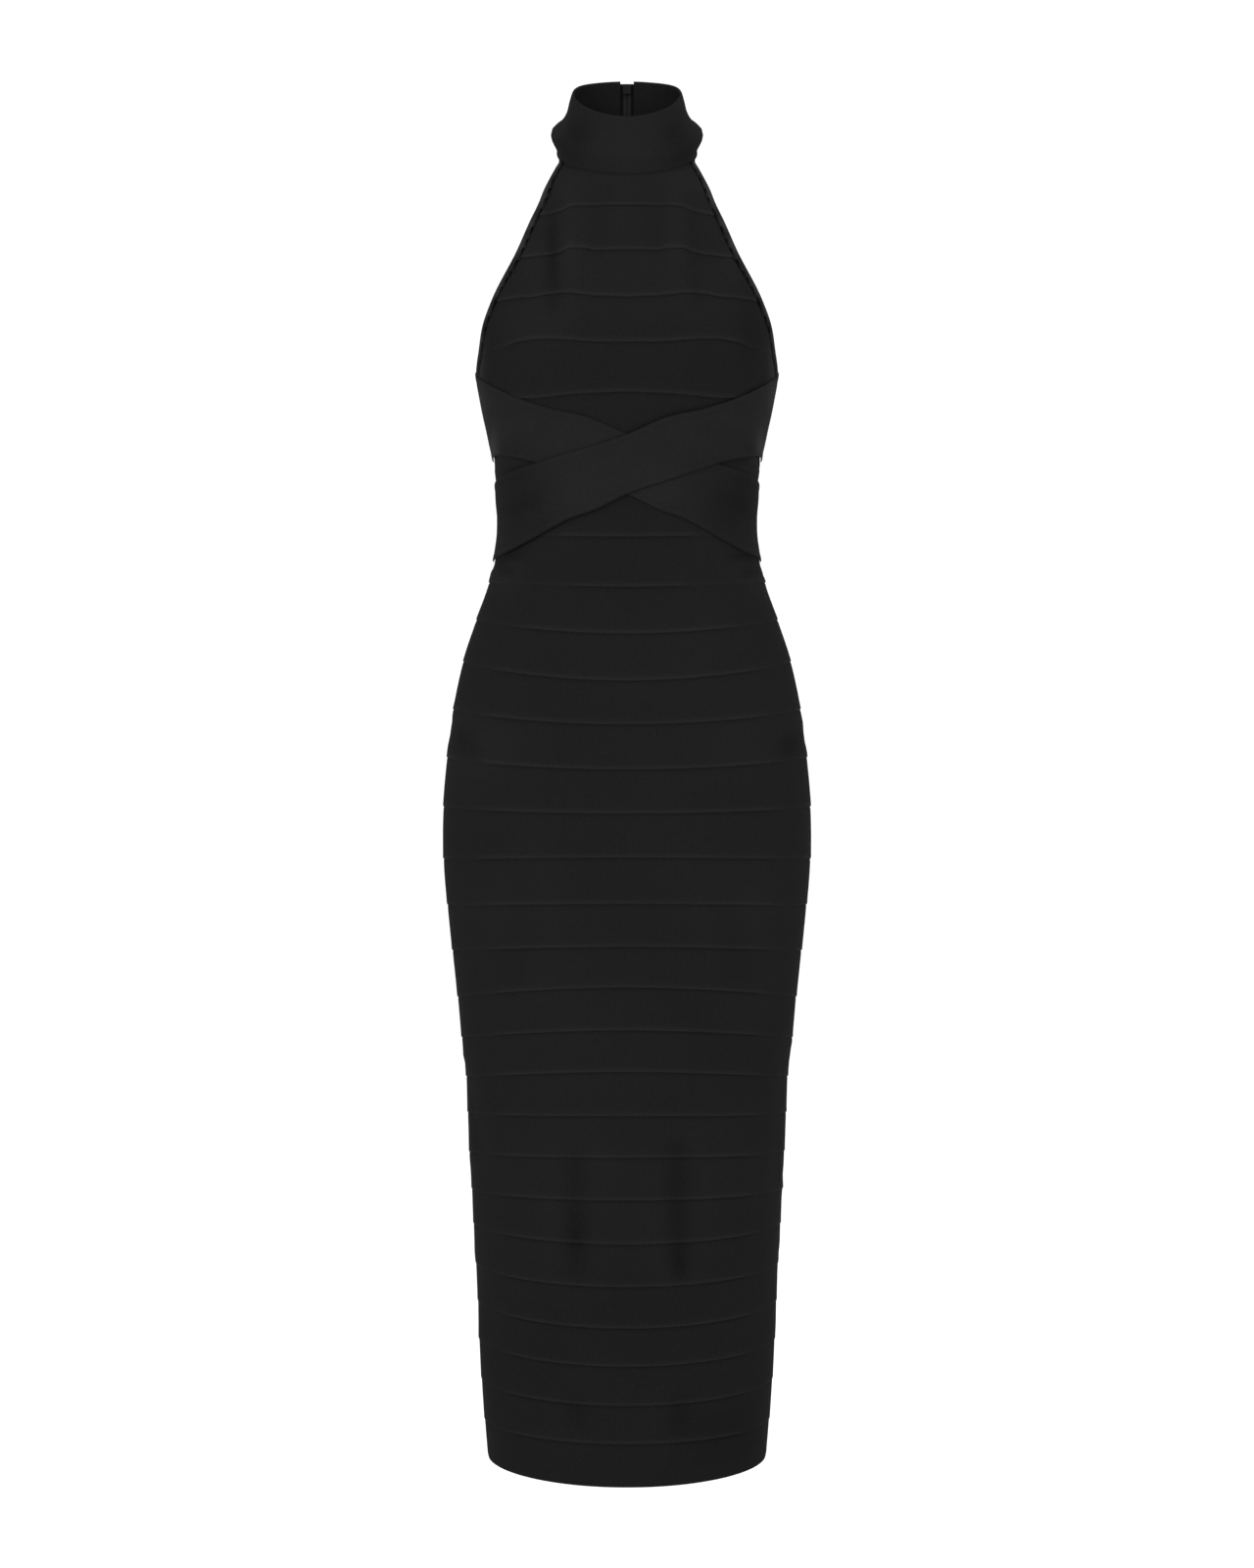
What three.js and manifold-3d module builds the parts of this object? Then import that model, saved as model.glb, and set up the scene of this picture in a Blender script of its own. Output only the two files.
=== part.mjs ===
// A sleeveless bandage-knit bodycon dress with a high collar, cut-in armholes, two bands crossed over the
// waist and a centre-back zip, filled out as it hangs when worn. Millimetres, +Z up. The front faces -Y, so
// the wearer's left is +X. The origin is the middle of the neck, level with the widest part of the collar.
import * as THREE from "three";
import { mergeVertices } from "three/addons/utils/BufferGeometryUtils.js";
import Module from "manifold-3d";

// Cloth and seams
const KNIT_WALL = 2.0;
const COLLAR_WALL = 2.6;
const CROSS_WALL = 1.6;
const SEAM_GAP = 0.3;
const SIDE_SEAM_TURN = 0.1; // half the gap of a side seam, in degrees
const SQUARENESS = 2.2; // of every level section: 2 is an ellipse
const BAND_FLARE = 0.8; // how far a band's lower edge stands over the band below it
const FLARE_SHARE = 0.03; // the height of that step, as a share of the band
const FRONT_COLUMNS = 20;
const BACK_COLUMNS = 10; // of each half
// Bands have this many rows of faces down to a seam, and below it one.
const CLOSE_STEPS = 3;
const FRONT_CLOSE_END = 10;
const BACK_CLOSE_END = 5;

// One row for each band seam, from the collar seam down to the hem: its height at the middle of the front,
// at the sides and at the middle of the back, and the half width and depths of the dress there.
const SEAMS = [
  { front: -51.4, side: -20, back: 5, halfWidth: 64.5, frontDepth: 68, backDepth: 68, bust: 0 },
  { front: -82, side: -87, back: -46, halfWidth: 118, frontDepth: 80, backDepth: 84, bust: 1 },
  { front: -123, side: -124, back: -97, halfWidth: 132, frontDepth: 92, backDepth: 95, bust: 5 },
  { front: -166, side: -162, back: -148, halfWidth: 137.5, frontDepth: 101, backDepth: 99, bust: 11 },
  { front: -208, side: -208, back: -199, halfWidth: 139, frontDepth: 103, backDepth: 98, bust: 13 },
  { front: -252, side: -250, back: -250, halfWidth: 132.6, frontDepth: 98, backDepth: 93, bust: 5 },
  { front: -293, side: -293, back: -290, halfWidth: 123.5, frontDepth: 91, backDepth: 87, bust: 0 },
  { front: -336, side: -336, back: -335, halfWidth: 118.8, frontDepth: 86, backDepth: 82, bust: 0 },
  { front: -378, side: -372, back: -374, halfWidth: 117.8, frontDepth: 85, backDepth: 83, bust: 0 },
  { front: -423, side: -414, back: -416, halfWidth: 126.6, frontDepth: 88, backDepth: 90, bust: 0 },
  { front: -465, side: -448, back: -454, halfWidth: 138.2, frontDepth: 94, backDepth: 101, bust: 0 },
  { front: -507, side: -486, back: -494, halfWidth: 150.2, frontDepth: 100, backDepth: 112, bust: 0 },
  { front: -546, side: -530, back: -536, halfWidth: 159.1, frontDepth: 105, backDepth: 120, bust: 0 },
  { front: -586, side: -574, back: -578, halfWidth: 164.9, frontDepth: 108, backDepth: 125, bust: 0 },
  { front: -625, side: -619, back: -620, halfWidth: 168.3, frontDepth: 110, backDepth: 127, bust: 0 },
  { front: -664, side: -667, back: -663, halfWidth: 168.2, frontDepth: 110, backDepth: 124, bust: 0 },
  { front: -705, side: -709, back: -706, halfWidth: 164.6, frontDepth: 110, backDepth: 118, bust: 0 },
  { front: -743, side: -751, back: -748, halfWidth: 160, frontDepth: 109, backDepth: 113, bust: 0 },
  { front: -779, side: -794, back: -789, halfWidth: 155.1, frontDepth: 108, backDepth: 109, bust: 0 },
  { front: -817, side: -831, back: -828, halfWidth: 151.4, frontDepth: 107, backDepth: 106, bust: 0 },
  { front: -854, side: -867, back: -866, halfWidth: 147.7, frontDepth: 106, backDepth: 104, bust: 0 },
  { front: -893, side: -900, back: -903, halfWidth: 146, frontDepth: 105.5, backDepth: 103, bust: 0 },
  { front: -930, side: -935.5, back: -940, halfWidth: 144.2, frontDepth: 105, backDepth: 102, bust: 0 },
  { front: -968, side: -969, back: -976, halfWidth: 142.2, frontDepth: 104.5, backDepth: 101, bust: 0 },
  { front: -1007, side: -1000.5, back: -1011, halfWidth: 140.6, frontDepth: 104, backDepth: 101, bust: 0 },
  { front: -1045, side: -1037, back: -1047, halfWidth: 138.8, frontDepth: 103, backDepth: 100, bust: 0 },
  { front: -1082, side: -1071, back: -1082, halfWidth: 137, frontDepth: 102, backDepth: 100, bust: 0 },
  { front: -1116, side: -1106, back: -1116, halfWidth: 135.4, frontDepth: 101, backDepth: 99, bust: 0 },
  { front: -1151, side: -1142, back: -1151, halfWidth: 133.3, frontDepth: 100, backDepth: 99, bust: 0 },
  { front: -1185, side: -1179, back: -1185, halfWidth: 130.4, frontDepth: 99.5, backDepth: 98, bust: 0 },
  { front: -1223.5, side: -1214, back: -1220, halfWidth: 127, frontDepth: 99, backDepth: 98, bust: 0 },
];
const HEM = SEAMS.length - 1;
const WAIST = 7; // the seam between bodice and skirt, hidden by the crossed bands
const FRONT_SEAMS = SEAMS.map((_, row) => row);
// The back reaches higher than the front, so one more band fits between its collar seam and the underarm.
const BACK_BANDS_ABOVE = 6;
const FIRST_SHARED_SEAM = 5;
const BACK_SEAMS = [
  ...Array.from({ length: BACK_BANDS_ABOVE }, (_, k) => (k * FIRST_SHARED_SEAM) / BACK_BANDS_ABOVE),
  ...FRONT_SEAMS.slice(FIRST_SHARED_SEAM),
];

// The bust stands out most at its two points and falls away to the sides.
const BUST = [
  { across: 0, share: 0.6 },
  { across: 30, share: 0.78 },
  { across: 60, share: 1 },
  { across: 88, share: 0.58 },
  { across: 112, share: 0.16 },
  { across: 135, share: 0 },
];

// Where the panels are cut for the armhole: how far round from the middle of the front or back, in degrees.
const UNDERARM_ROW = 4.48;
const FRONT_ARMHOLE = [
  { row: 0, turn: 62 },
  { row: 0.33, turn: 52.4 },
  { row: 0.66, turn: 44.2 },
  { row: 1, turn: 41 },
  { row: 2, turn: 45.5 },
  { row: 3, turn: 57.5 },
  { row: 3.5, turn: 64.5 },
  { row: 4, turn: 69.5 },
  { row: 4.17, turn: 72.8 },
  { row: 4.33, turn: 77.4 },
  { row: 4.42, turn: 81.8 },
  { row: UNDERARM_ROW, turn: 90 },
];
const BACK_ARMHOLE = [
  { row: 0, turn: 60 },
  { row: 0.33, turn: 43 },
  { row: 0.66, turn: 38 },
  { row: 1, turn: 36.5 },
  { row: 2, turn: 40.5 },
  { row: 3, turn: 51 },
  { row: 4, turn: 65 },
  { row: 4.17, turn: 69.5 },
  { row: 4.33, turn: 75.5 },
  { row: 4.42, turn: 80.8 },
  { row: UNDERARM_ROW, turn: 90 },
];
const FRONT_UNDERARM_ROWS = [4.17, 4.42, UNDERARM_ROW];
const BACK_UNDERARM_ROWS = [4.3, 4.4, UNDERARM_ROW];

// The folded binding that finishes an armhole, as a section: out from the panel's cut edge, and up from the
// panel's outer face.
const BINDING_SECTION = [
  { out: 0.3, up: 0.5 },
  { out: 5.6, up: 0.6 },
  { out: 6.6, up: -0.3 },
  { out: 6.6, up: -1.7 },
  { out: 5.6, up: -2.6 },
  { out: 0.3, up: -2.5 },
];

// The collar, from its top edge down to the collar seam.
const COLLAR_TOP = { front: 3.6, side: 37, back: 60 };
const COLLAR = [
  { down: 0, halfWidth: 50, frontDepth: 56, backDepth: 63 },
  { down: 0.2, halfWidth: 53.4, frontDepth: 57.5, backDepth: 63.3 },
  { down: 0.38, halfWidth: 56.4, frontDepth: 59.5, backDepth: 63.8 },
  { down: 0.5, halfWidth: 60.6, frontDepth: 61.5, backDepth: 64.4 },
  { down: 0.6, halfWidth: 68.3, frontDepth: 63.3, backDepth: 65.1 },
  { down: 0.69, halfWidth: 69.9, frontDepth: 64.8, backDepth: 65.9 },
  { down: 0.8, halfWidth: 67.3, frontDepth: 66.2, backDepth: 66.8 },
  { down: 0.92, halfWidth: 64, frontDepth: 67.4, backDepth: 67.6 },
  { down: 1, halfWidth: 64.5, frontDepth: 68, backDepth: 68 },
];
const COLLAR_COLUMNS = 44;
const COLLAR_LIFT = 0.45; // keeps the tilted collar clear of the panels sewn to it

// A crossed band, from the side where it starts high under the arm (turn -90) to the side where it ends low.
const CROSS_BAND = [
  { turn: -90, top: -228, bottom: -295 },
  { turn: -75, top: -231, bottom: -298 },
  { turn: -60, top: -240, bottom: -302.5 },
  { turn: -44, top: -253.4, bottom: -308.5 },
  { turn: -30, top: -263.5, bottom: -318 },
  { turn: -16, top: -271.2, bottom: -328.5 },
  { turn: 0, top: -286.5, bottom: -340 },
  { turn: 13.5, top: -296, bottom: -353.5 },
  { turn: 25, top: -302.5, bottom: -361.5 },
  { turn: 43.5, top: -311.5, bottom: -379 },
  { turn: 57, top: -316, bottom: -388 },
  { turn: 90, top: -324, bottom: -395 },
];
const CROSS_STEPS = 4;
const CROSS_GAP = 0.5; // between a crossed band and what it lies on
const CROSS_MARGIN = 10; // the panel below is smooth this far beyond a crossed band's edges
const CROSSING_END = 48; // the bands lie on each other up to this turn
const CROSSING_CLEAR = 75; // and the upper one is down on the panel from this turn

// The zip in the middle of the back
const ZIP_HALF_OPENING = 6.8; // from the middle to the back panels' edges
const ZIP_END_ROW = 11.8;
const ZIP_END_STEP = 0.04;
const BACK_SEAM_HALF_GAP = 0.15;
const ZIP_TOP_HEIGHT = 53.8;
// One half of the closed zip, as a section: the chain of teeth beside the middle, then the woven tape.
const ZIP_SECTION = [
  { across: 0.15, up: 0.6 },
  { across: 3.1, up: 0.6 },
  { across: 3.3, up: -0.4 },
  { across: 6.5, up: -0.4 },
  { across: 6.5, up: -1.4 },
  { across: 3.3, up: -1.4 },
  { across: 3.1, up: -2.2 },
  { across: 0.15, up: -2.2 },
];
const ZIP_COLLAR_SHARES = [0.3, 0.5, 0.7, 0.9]; // its stations between the top and the collar seam
const ZIP_FIRST_ROW = 0.1;
const ZIP_STEPS_BELOW_COLLAR = 23;

// Slider and pull tab
const SLIDER_WIDTH = 7.4;
const SLIDER_TOP = 57;
const SLIDER_BOTTOM = 47.8;
const SLIDER_PLATE = 1.2;
const SLIDER_CLEARANCE = 0.45;
const CROWN_WIDTH = 1.4;
const CROWN_HALF_LENGTH = 2.3;
const CROWN_RISE = 3.4;
const CROWN_EYE_RADIUS = 1.15;
const CROWN_ROOT = 0.3; // how deep the crown is set in the slider's plate
const PIVOT_RISE = 1.45; // the pull tab's axis above the slider's outer plate
const PIVOT_HEIGHT = 52;
const TAB_WALL = 1.0; // thickness of the tab and of its bar through the crown
const TAB_WINDOW_HALF_WIDTH = 1.2;
const TAB_WINDOW_LENGTH = 2.6;
const TAB_HALF_WIDTH = 2.9;
const TAB_LENGTH = 17.5; // from the axis down to the rounded end

const SURFACE_STEP = 0.01; // for measuring a surface's direction, in rows, shares or degrees
const HALVINGS = 30; // enough to find a row to well under a micrometre
const ARC_STEPS = 8; // faces round each arc of the slider and tab

const CLOTH = { color: 0x1f1f1f, roughness: 0.92, metalness: 0 };
const TAPE = { color: 0x191919, roughness: 0.8, metalness: 0 };
const ENAMEL = { color: 0x161616, roughness: 0.4, metalness: 0.6 };

const radians = THREE.MathUtils.degToRad;
const mix = THREE.MathUtils.lerp;

// A smooth curve through each column of a table, as functions of its first column.
function curvesOf(rows, key) {
  const places = rows.map((row) => row[key]);
  const columns = Object.keys(rows[0]).filter((name) => name !== key);
  return Object.fromEntries(
    columns.map((name) => {
      const curve = new THREE.CubicInterpolant(places, rows.map((row) => row[name]), 1);
      return [name, (at) => curve.evaluate(at)[0]];
    }),
  );
}
const body = curvesOf(SEAMS.map((seam, row) => ({ row, ...seam })), "row");
const bust = curvesOf(BUST, "across");
const frontArmhole = curvesOf(FRONT_ARMHOLE, "row");
const backArmhole = curvesOf(BACK_ARMHOLE, "row");
const collar = curvesOf(COLLAR, "down");
const crossBand = curvesOf(CROSS_BAND, "turn");

// A point of a level section that is tilted so that its front, sides and back have their own heights. The
// turn is in degrees from the middle of the front towards the wearer's left.
function sectionPoint(section, turn) {
  const across = Math.sin(radians(turn));
  const ahead = Math.cos(radians(turn));
  const size = (Math.abs(across) ** SQUARENESS + Math.abs(ahead) ** SQUARENESS) ** (1 / SQUARENESS);
  const depth = ahead > 0 ? section.frontDepth : section.backDepth;
  const tilt = (section.front - section.back) / 2;
  const bow = (section.front + section.back) / 2 - section.side;
  return new THREE.Vector3(
    (section.halfWidth * across) / size,
    (-depth * ahead) / size,
    section.side + tilt * ahead + bow * ahead ** 2,
  );
}

// The turn at which a section is this far across.
function turnAt(across, halfWidth) {
  const share = (across / halfWidth) ** SQUARENESS;
  return THREE.MathUtils.radToDeg(Math.atan((share / (1 - share)) ** (1 / SQUARENESS)));
}

// The outer face of the dress below the collar, by seam row and turn.
function bodyPoint(row, turn) {
  const section = Object.fromEntries(Object.entries(body).map(([name, curve]) => [name, curve(row)]));
  const point = sectionPoint(section, turn);
  if (Math.abs(turn) < 90) point.y -= section.bust * bust.share(Math.abs(point.x));
  return point;
}

// The outer face of the collar, by the share of its height from the top and the turn.
function collarPoint(down, turn) {
  const seam = SEAMS[0];
  return sectionPoint(
    {
      halfWidth: collar.halfWidth(down),
      frontDepth: collar.frontDepth(down),
      backDepth: collar.backDepth(down),
      front: mix(COLLAR_TOP.front, seam.front + COLLAR_LIFT, down),
      side: mix(COLLAR_TOP.side, seam.side + COLLAR_LIFT, down),
      back: mix(COLLAR_TOP.back, seam.back + COLLAR_LIFT, down),
    },
    turn,
  );
}

// The direction out of a surface.
function outward(surface, down, turn) {
  const below = surface(down + SURFACE_STEP, turn).sub(surface(down - SURFACE_STEP, turn));
  const beside = surface(down, turn + SURFACE_STEP).sub(surface(down, turn - SURFACE_STEP));
  return below.cross(beside).normalize();
}

function movedOut(surface, down, turn, distance) {
  return surface(down, turn).addScaledVector(outward(surface, down, turn), distance);
}

// The seam row that passes through a height.
function rowAt(height, turn) {
  let [above, below] = [0, HEM];
  for (let halving = 0; halving < HALVINGS; halving++) {
    const middle = (above + below) / 2;
    if (bodyPoint(middle, turn).z > height) above = middle;
    else below = middle;
  }
  return above;
}

// A closed body from points and faces, turned so that its faces look out.
function closedGeometry(points, faces) {
  let volume = 0;
  for (let k = 0; k < faces.length; k += 3) {
    const [a, b, c] = [points[faces[k]], points[faces[k + 1]], points[faces[k + 2]]];
    volume += a.dot(b.clone().cross(c));
  }
  const turned = volume < 0 ? faces.slice().reverse() : faces;
  return new THREE.BufferGeometry().setFromPoints(points).setIndex(turned);
}

// The four sides of a grid, going round it with the cloth on the left.
function sidesOf(grid) {
  const last = grid[0].length - 1;
  return [
    grid.map((row) => row[0]),
    grid[grid.length - 1],
    grid.map((row) => row[last]).reverse(),
    [...grid[0]].reverse(),
  ];
}

// The length along a line of points at each of them, as a share of the whole.
function sharesAlong(points, line) {
  const lengths = [0];
  for (let k = 1; k < line.length; k++) {
    lengths.push(lengths[k - 1] + points[line[k]].distanceTo(points[line[k - 1]]));
  }
  return lengths.map((length) => length / lengths[lengths.length - 1]);
}

// Faces between one side of the outer grid and the same side of the inner grid, which may have fewer points.
function stitch(points, outerSide, innerSide) {
  const outerShares = sharesAlong(points, outerSide);
  const innerShares = sharesAlong(points, innerSide);
  const faces = [];
  let [i, j] = [0, 0];
  while (i < outerSide.length - 1 || j < innerSide.length - 1) {
    const outerNext = i < outerSide.length - 1 ? outerShares[i + 1] : Infinity;
    const innerNext = j < innerSide.length - 1 ? innerShares[j + 1] : Infinity;
    if (outerNext <= innerNext) {
      faces.push(outerSide[i + 1], outerSide[i], innerSide[j]);
      i++;
    } else {
      faces.push(outerSide[i], innerSide[j], innerSide[j + 1]);
      j++;
    }
  }
  return faces;
}

// A wall of cloth between an outer and an inner grid of points. A grid is a list of rows from the top down,
// each from left to right as seen from outside.
function wallGeometry(outerGrid, innerGrid) {
  const points = [];
  const faces = [];
  const numbered = (grid) => grid.map((row) => row.map((point) => points.push(point) - 1));
  const outer = numbered(outerGrid);
  const inner = numbered(innerGrid);
  for (const [grid, inside] of [[outer, false], [inner, true]]) {
    for (let r = 0; r < grid.length - 1; r++) {
      for (let c = 0; c < grid[r].length - 1; c++) {
        const [a, b, d, e] = [grid[r][c], grid[r][c + 1], grid[r + 1][c], grid[r + 1][c + 1]];
        faces.push(...(inside ? [a, e, d, a, b, e] : [a, d, e, a, e, b]));
      }
    }
  }
  const innerSides = sidesOf(inner);
  sidesOf(outer).forEach((side, k) => faces.push(...stitch(points, side, innerSides[k])));
  return closedGeometry(points, faces);
}

// A closed bar through a list of like sections.
function barGeometry(sections, outline) {
  const count = outline.length;
  const points = sections.flat();
  const faces = [];
  for (let s = 0; s < sections.length - 1; s++) {
    for (let k = 0; k < count; k++) {
      const next = (k + 1) % count;
      const [a, b] = [s * count + k, s * count + next];
      faces.push(a, b, b + count, a, b + count, a + count);
    }
  }
  const last = (sections.length - 1) * count;
  const clockwise = THREE.ShapeUtils.isClockWise(outline);
  for (const corners of THREE.ShapeUtils.triangulateShape(outline, [])) {
    const sameWay = THREE.ShapeUtils.isClockWise(corners.map((k) => outline[k])) === clockwise;
    const [a, b, c] = sameWay ? corners : [...corners].reverse();
    faces.push(c, b, a, last + a, last + b, last + c);
  }
  return closedGeometry(points, faces);
}

// The same body on the other side of the dress.
function mirrored(geometry) {
  const other = geometry.clone().scale(-1, 1, 1);
  other.setIndex([...geometry.index.array].reverse());
  return other;
}

// The rows of a panel's outer face: each band starts flush and stands out more towards its lower edge.
function bandRows(seams, first, last, closeEnd, extraRows) {
  const rows = [];
  seams.slice(0, -1).forEach((top, k) => {
    if (top < first || top >= last) return;
    const height = seams[k + 1] - top;
    const steps = top < closeEnd ? CLOSE_STEPS : 1;
    const between = extraRows.filter((row) => row > top && row < seams[k + 1]);
    for (let step = 1; step < steps; step++) between.push(top + (height * step) / steps);
    rows.push({ row: top, lift: 0, inner: true });
    for (const row of between.sort((a, b) => a - b)) {
      rows.push({ row, lift: (BAND_FLARE * (row - top)) / height, inner: true });
    }
    rows.push({ row: seams[k + 1] - height * FLARE_SHARE, lift: BAND_FLARE, inner: false });
  });
  const end = rows[rows.length - 1];
  end.inner = true;
  if (last === HEM) rows[rows.length - 1] = { row: HEM, lift: 0, inner: true };
  else end.row = last - SEAM_GAP / (SEAMS[last - 1].side - SEAMS[last].side);
  return rows;
}

function underCrossedBands(point, turn) {
  if (Math.abs(turn) > 90) return false;
  return [turn, -turn].some(
    (along) =>
      point.z < crossBand.top(along) + CROSS_MARGIN && point.z > crossBand.bottom(along) - CROSS_MARGIN,
  );
}

function panelGeometry(rows, edgesOf, columns) {
  const gridOf = (kept, outOf) =>
    kept.map((entry) => {
      const [from, to] = edgesOf(entry.row);
      return Array.from({ length: columns + 1 }, (_, c) => {
        const turn = mix(from, to, c / columns);
        return movedOut(bodyPoint, entry.row, turn, outOf(entry, turn));
      });
    });
  const outer = gridOf(rows, (entry, turn) =>
    underCrossedBands(bodyPoint(entry.row, turn), turn) ? 0 : entry.lift,
  );
  const inner = gridOf(rows.filter((entry) => entry.inner), () => -KNIT_WALL);
  return wallGeometry(outer, inner);
}

// How far round a panel reaches: to its armhole, or below that to the side seam.
function reachOf(armhole, row) {
  const sideSeam = 90 - SIDE_SEAM_TURN;
  return row < UNDERARM_ROW ? Math.min(armhole.turn(row), sideSeam) : sideSeam;
}

function frontEdges(row) {
  const reach = reachOf(frontArmhole, row);
  return [-reach, reach];
}

// The wearer's left half of the back, from the side or armhole to the zip, or below that to the back seam.
function backEdges(row) {
  const halfOpening = row <= ZIP_END_ROW ? ZIP_HALF_OPENING : BACK_SEAM_HALF_GAP;
  return [180 - reachOf(backArmhole, row), 180 - turnAt(halfOpening, body.halfWidth(row))];
}

const zipEndRows = [ZIP_END_ROW, ZIP_END_ROW + ZIP_END_STEP];
const frontBodiceRows = bandRows(FRONT_SEAMS, 0, WAIST, FRONT_CLOSE_END, FRONT_UNDERARM_ROWS);
const backBodiceRows = bandRows(BACK_SEAMS, 0, WAIST, BACK_CLOSE_END, BACK_UNDERARM_ROWS);
const frontSkirtRows = bandRows(FRONT_SEAMS, WAIST, HEM, FRONT_CLOSE_END, []);
const backSkirtRows = bandRows(BACK_SEAMS, WAIST, HEM, BACK_CLOSE_END, zipEndRows);

// The strip of knit folded over the armhole's edge, from the collar at the front, under the arm, and up to
// the collar at the back.
function bindingGeometry() {
  const onArmhole = (rows) => rows.map(({ row }) => row).filter((row) => row <= UNDERARM_ROW);
  const stations = [
    ...onArmhole(frontBodiceRows).map((row) => ({ row, turn: reachOf(frontArmhole, row), away: 1 })),
    ...onArmhole(backBodiceRows)
      .reverse()
      .map((row) => ({ row, turn: 180 - reachOf(backArmhole, row), away: -1 })),
  ];
  const edge = stations.map(({ row, turn }) => bodyPoint(row, turn));
  const sections = stations.map(({ row, turn, away }, k) => {
    const up = outward(bodyPoint, row, turn);
    const atCollar = k === 0 || k === stations.length - 1;
    const out = atCollar
      ? bodyPoint(row, turn + away).sub(edge[k]).normalize()
      : up.clone().cross(edge[k + 1].clone().sub(edge[k - 1])).normalize();
    return BINDING_SECTION.map((corner) =>
      edge[k].clone().addScaledVector(out, corner.out).addScaledVector(up, corner.up),
    );
  });
  return barGeometry(sections, BINDING_SECTION.map(({ out, up }) => new THREE.Vector2(out, up)));
}

function collarGeometry() {
  const gridAt = (distance) =>
    COLLAR.map(({ down }) => {
      const end = 180 - turnAt(ZIP_HALF_OPENING, collar.halfWidth(down));
      return Array.from({ length: COLLAR_COLUMNS + 1 }, (_, c) =>
        movedOut(collarPoint, down, mix(-end, end, c / COLLAR_COLUMNS), distance),
      );
    });
  return wallGeometry(gridAt(0), gridAt(-COLLAR_WALL));
}

// A band that crosses the waist from high under one arm to low on the other side. The upper one of the two
// rides over the other in the middle.
function crossBandGeometry(highSide, over) {
  const reach = 90 - SIDE_SEAM_TURN;
  const gridAt = (thickness) =>
    Array.from({ length: CROSS_STEPS + 1 }, (_, r) =>
      Array.from({ length: FRONT_COLUMNS + 1 }, (_, c) => {
        const turn = mix(-reach, reach, c / FRONT_COLUMNS);
        const along = -highSide * turn;
        const height = mix(crossBand.top(along), crossBand.bottom(along), r / CROSS_STEPS);
        const down = THREE.MathUtils.smoothstep(Math.abs(turn), CROSSING_END, CROSSING_CLEAR);
        const rise = over ? (CROSS_WALL + CROSS_GAP) * (1 - down) : 0;
        return movedOut(bodyPoint, rowAt(height, turn), turn, CROSS_GAP + rise + thickness);
      }),
    );
  return wallGeometry(gridAt(CROSS_WALL), gridAt(0));
}

// The wearer's left half of the zip, down the middle of the back.
function zipGeometry() {
  const collarHeight = COLLAR_TOP.back - SEAMS[0].back;
  const start = (COLLAR_TOP.back - ZIP_TOP_HEIGHT) / collarHeight;
  const shares = [start, ...ZIP_COLLAR_SHARES];
  const stations = shares.map((down) => ({ surface: collarPoint, down, widths: collar }));
  for (let step = 0; step <= ZIP_STEPS_BELOW_COLLAR; step++) {
    const down = mix(ZIP_FIRST_ROW, ZIP_END_ROW, step / ZIP_STEPS_BELOW_COLLAR);
    stations.push({ surface: bodyPoint, down, widths: body });
  }
  const sections = stations.map(({ surface, down, widths }) =>
    ZIP_SECTION.map(({ across, up }) => {
      const turn = 180 - turnAt(across, widths.halfWidth(down));
      return movedOut(surface, down, turn, up);
    }),
  );
  return barGeometry(sections, ZIP_SECTION.map(({ across, up }) => new THREE.Vector2(across, up)));
}

// A profile drawn in depth and height, as wide as given from side to side.
function extrudedAcross(shape, width) {
  const options = { depth: width, bevelEnabled: false, curveSegments: ARC_STEPS };
  const geometry = new THREE.ExtrudeGeometry(shape, options);
  const toAcross = new THREE.Matrix4().makeBasis(
    new THREE.Vector3(0, 1, 0),
    new THREE.Vector3(0, 0, 1),
    new THREE.Vector3(1, 0, 0),
  );
  return geometry.applyMatrix4(toAcross).translate(-width / 2, 0, 0);
}

const wasm = await Module();
wasm.setup();

function solidOf(geometry) {
  const bare = geometry.clone();
  bare.deleteAttribute("normal");
  bare.deleteAttribute("uv");
  const merged = mergeVertices(bare);
  return new wasm.Manifold(
    new wasm.Mesh({
      numProp: 3,
      vertProperties: new Float32Array(merged.attributes.position.array),
      triVerts: new Uint32Array(merged.index.array),
    }),
  );
}

function joined(first, second) {
  const mesh = solidOf(first).add(solidOf(second)).getMesh();
  return new THREE.BufferGeometry()
    .setAttribute("position", new THREE.BufferAttribute(mesh.vertProperties, 3))
    .setIndex(new THREE.BufferAttribute(mesh.triVerts, 1));
}

const heightShare = (COLLAR_TOP.back - PIVOT_HEIGHT) / (COLLAR_TOP.back - SEAMS[0].back);
const zipFace = collarPoint(heightShare, 180).y;
const chain = { top: ZIP_SECTION[0].up, bottom: ZIP_SECTION[ZIP_SECTION.length - 1].up };
const sliderFace = zipFace + chain.top + SLIDER_CLEARANCE + SLIDER_PLATE;
const pivotDepth = sliderFace + PIVOT_RISE;

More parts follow.
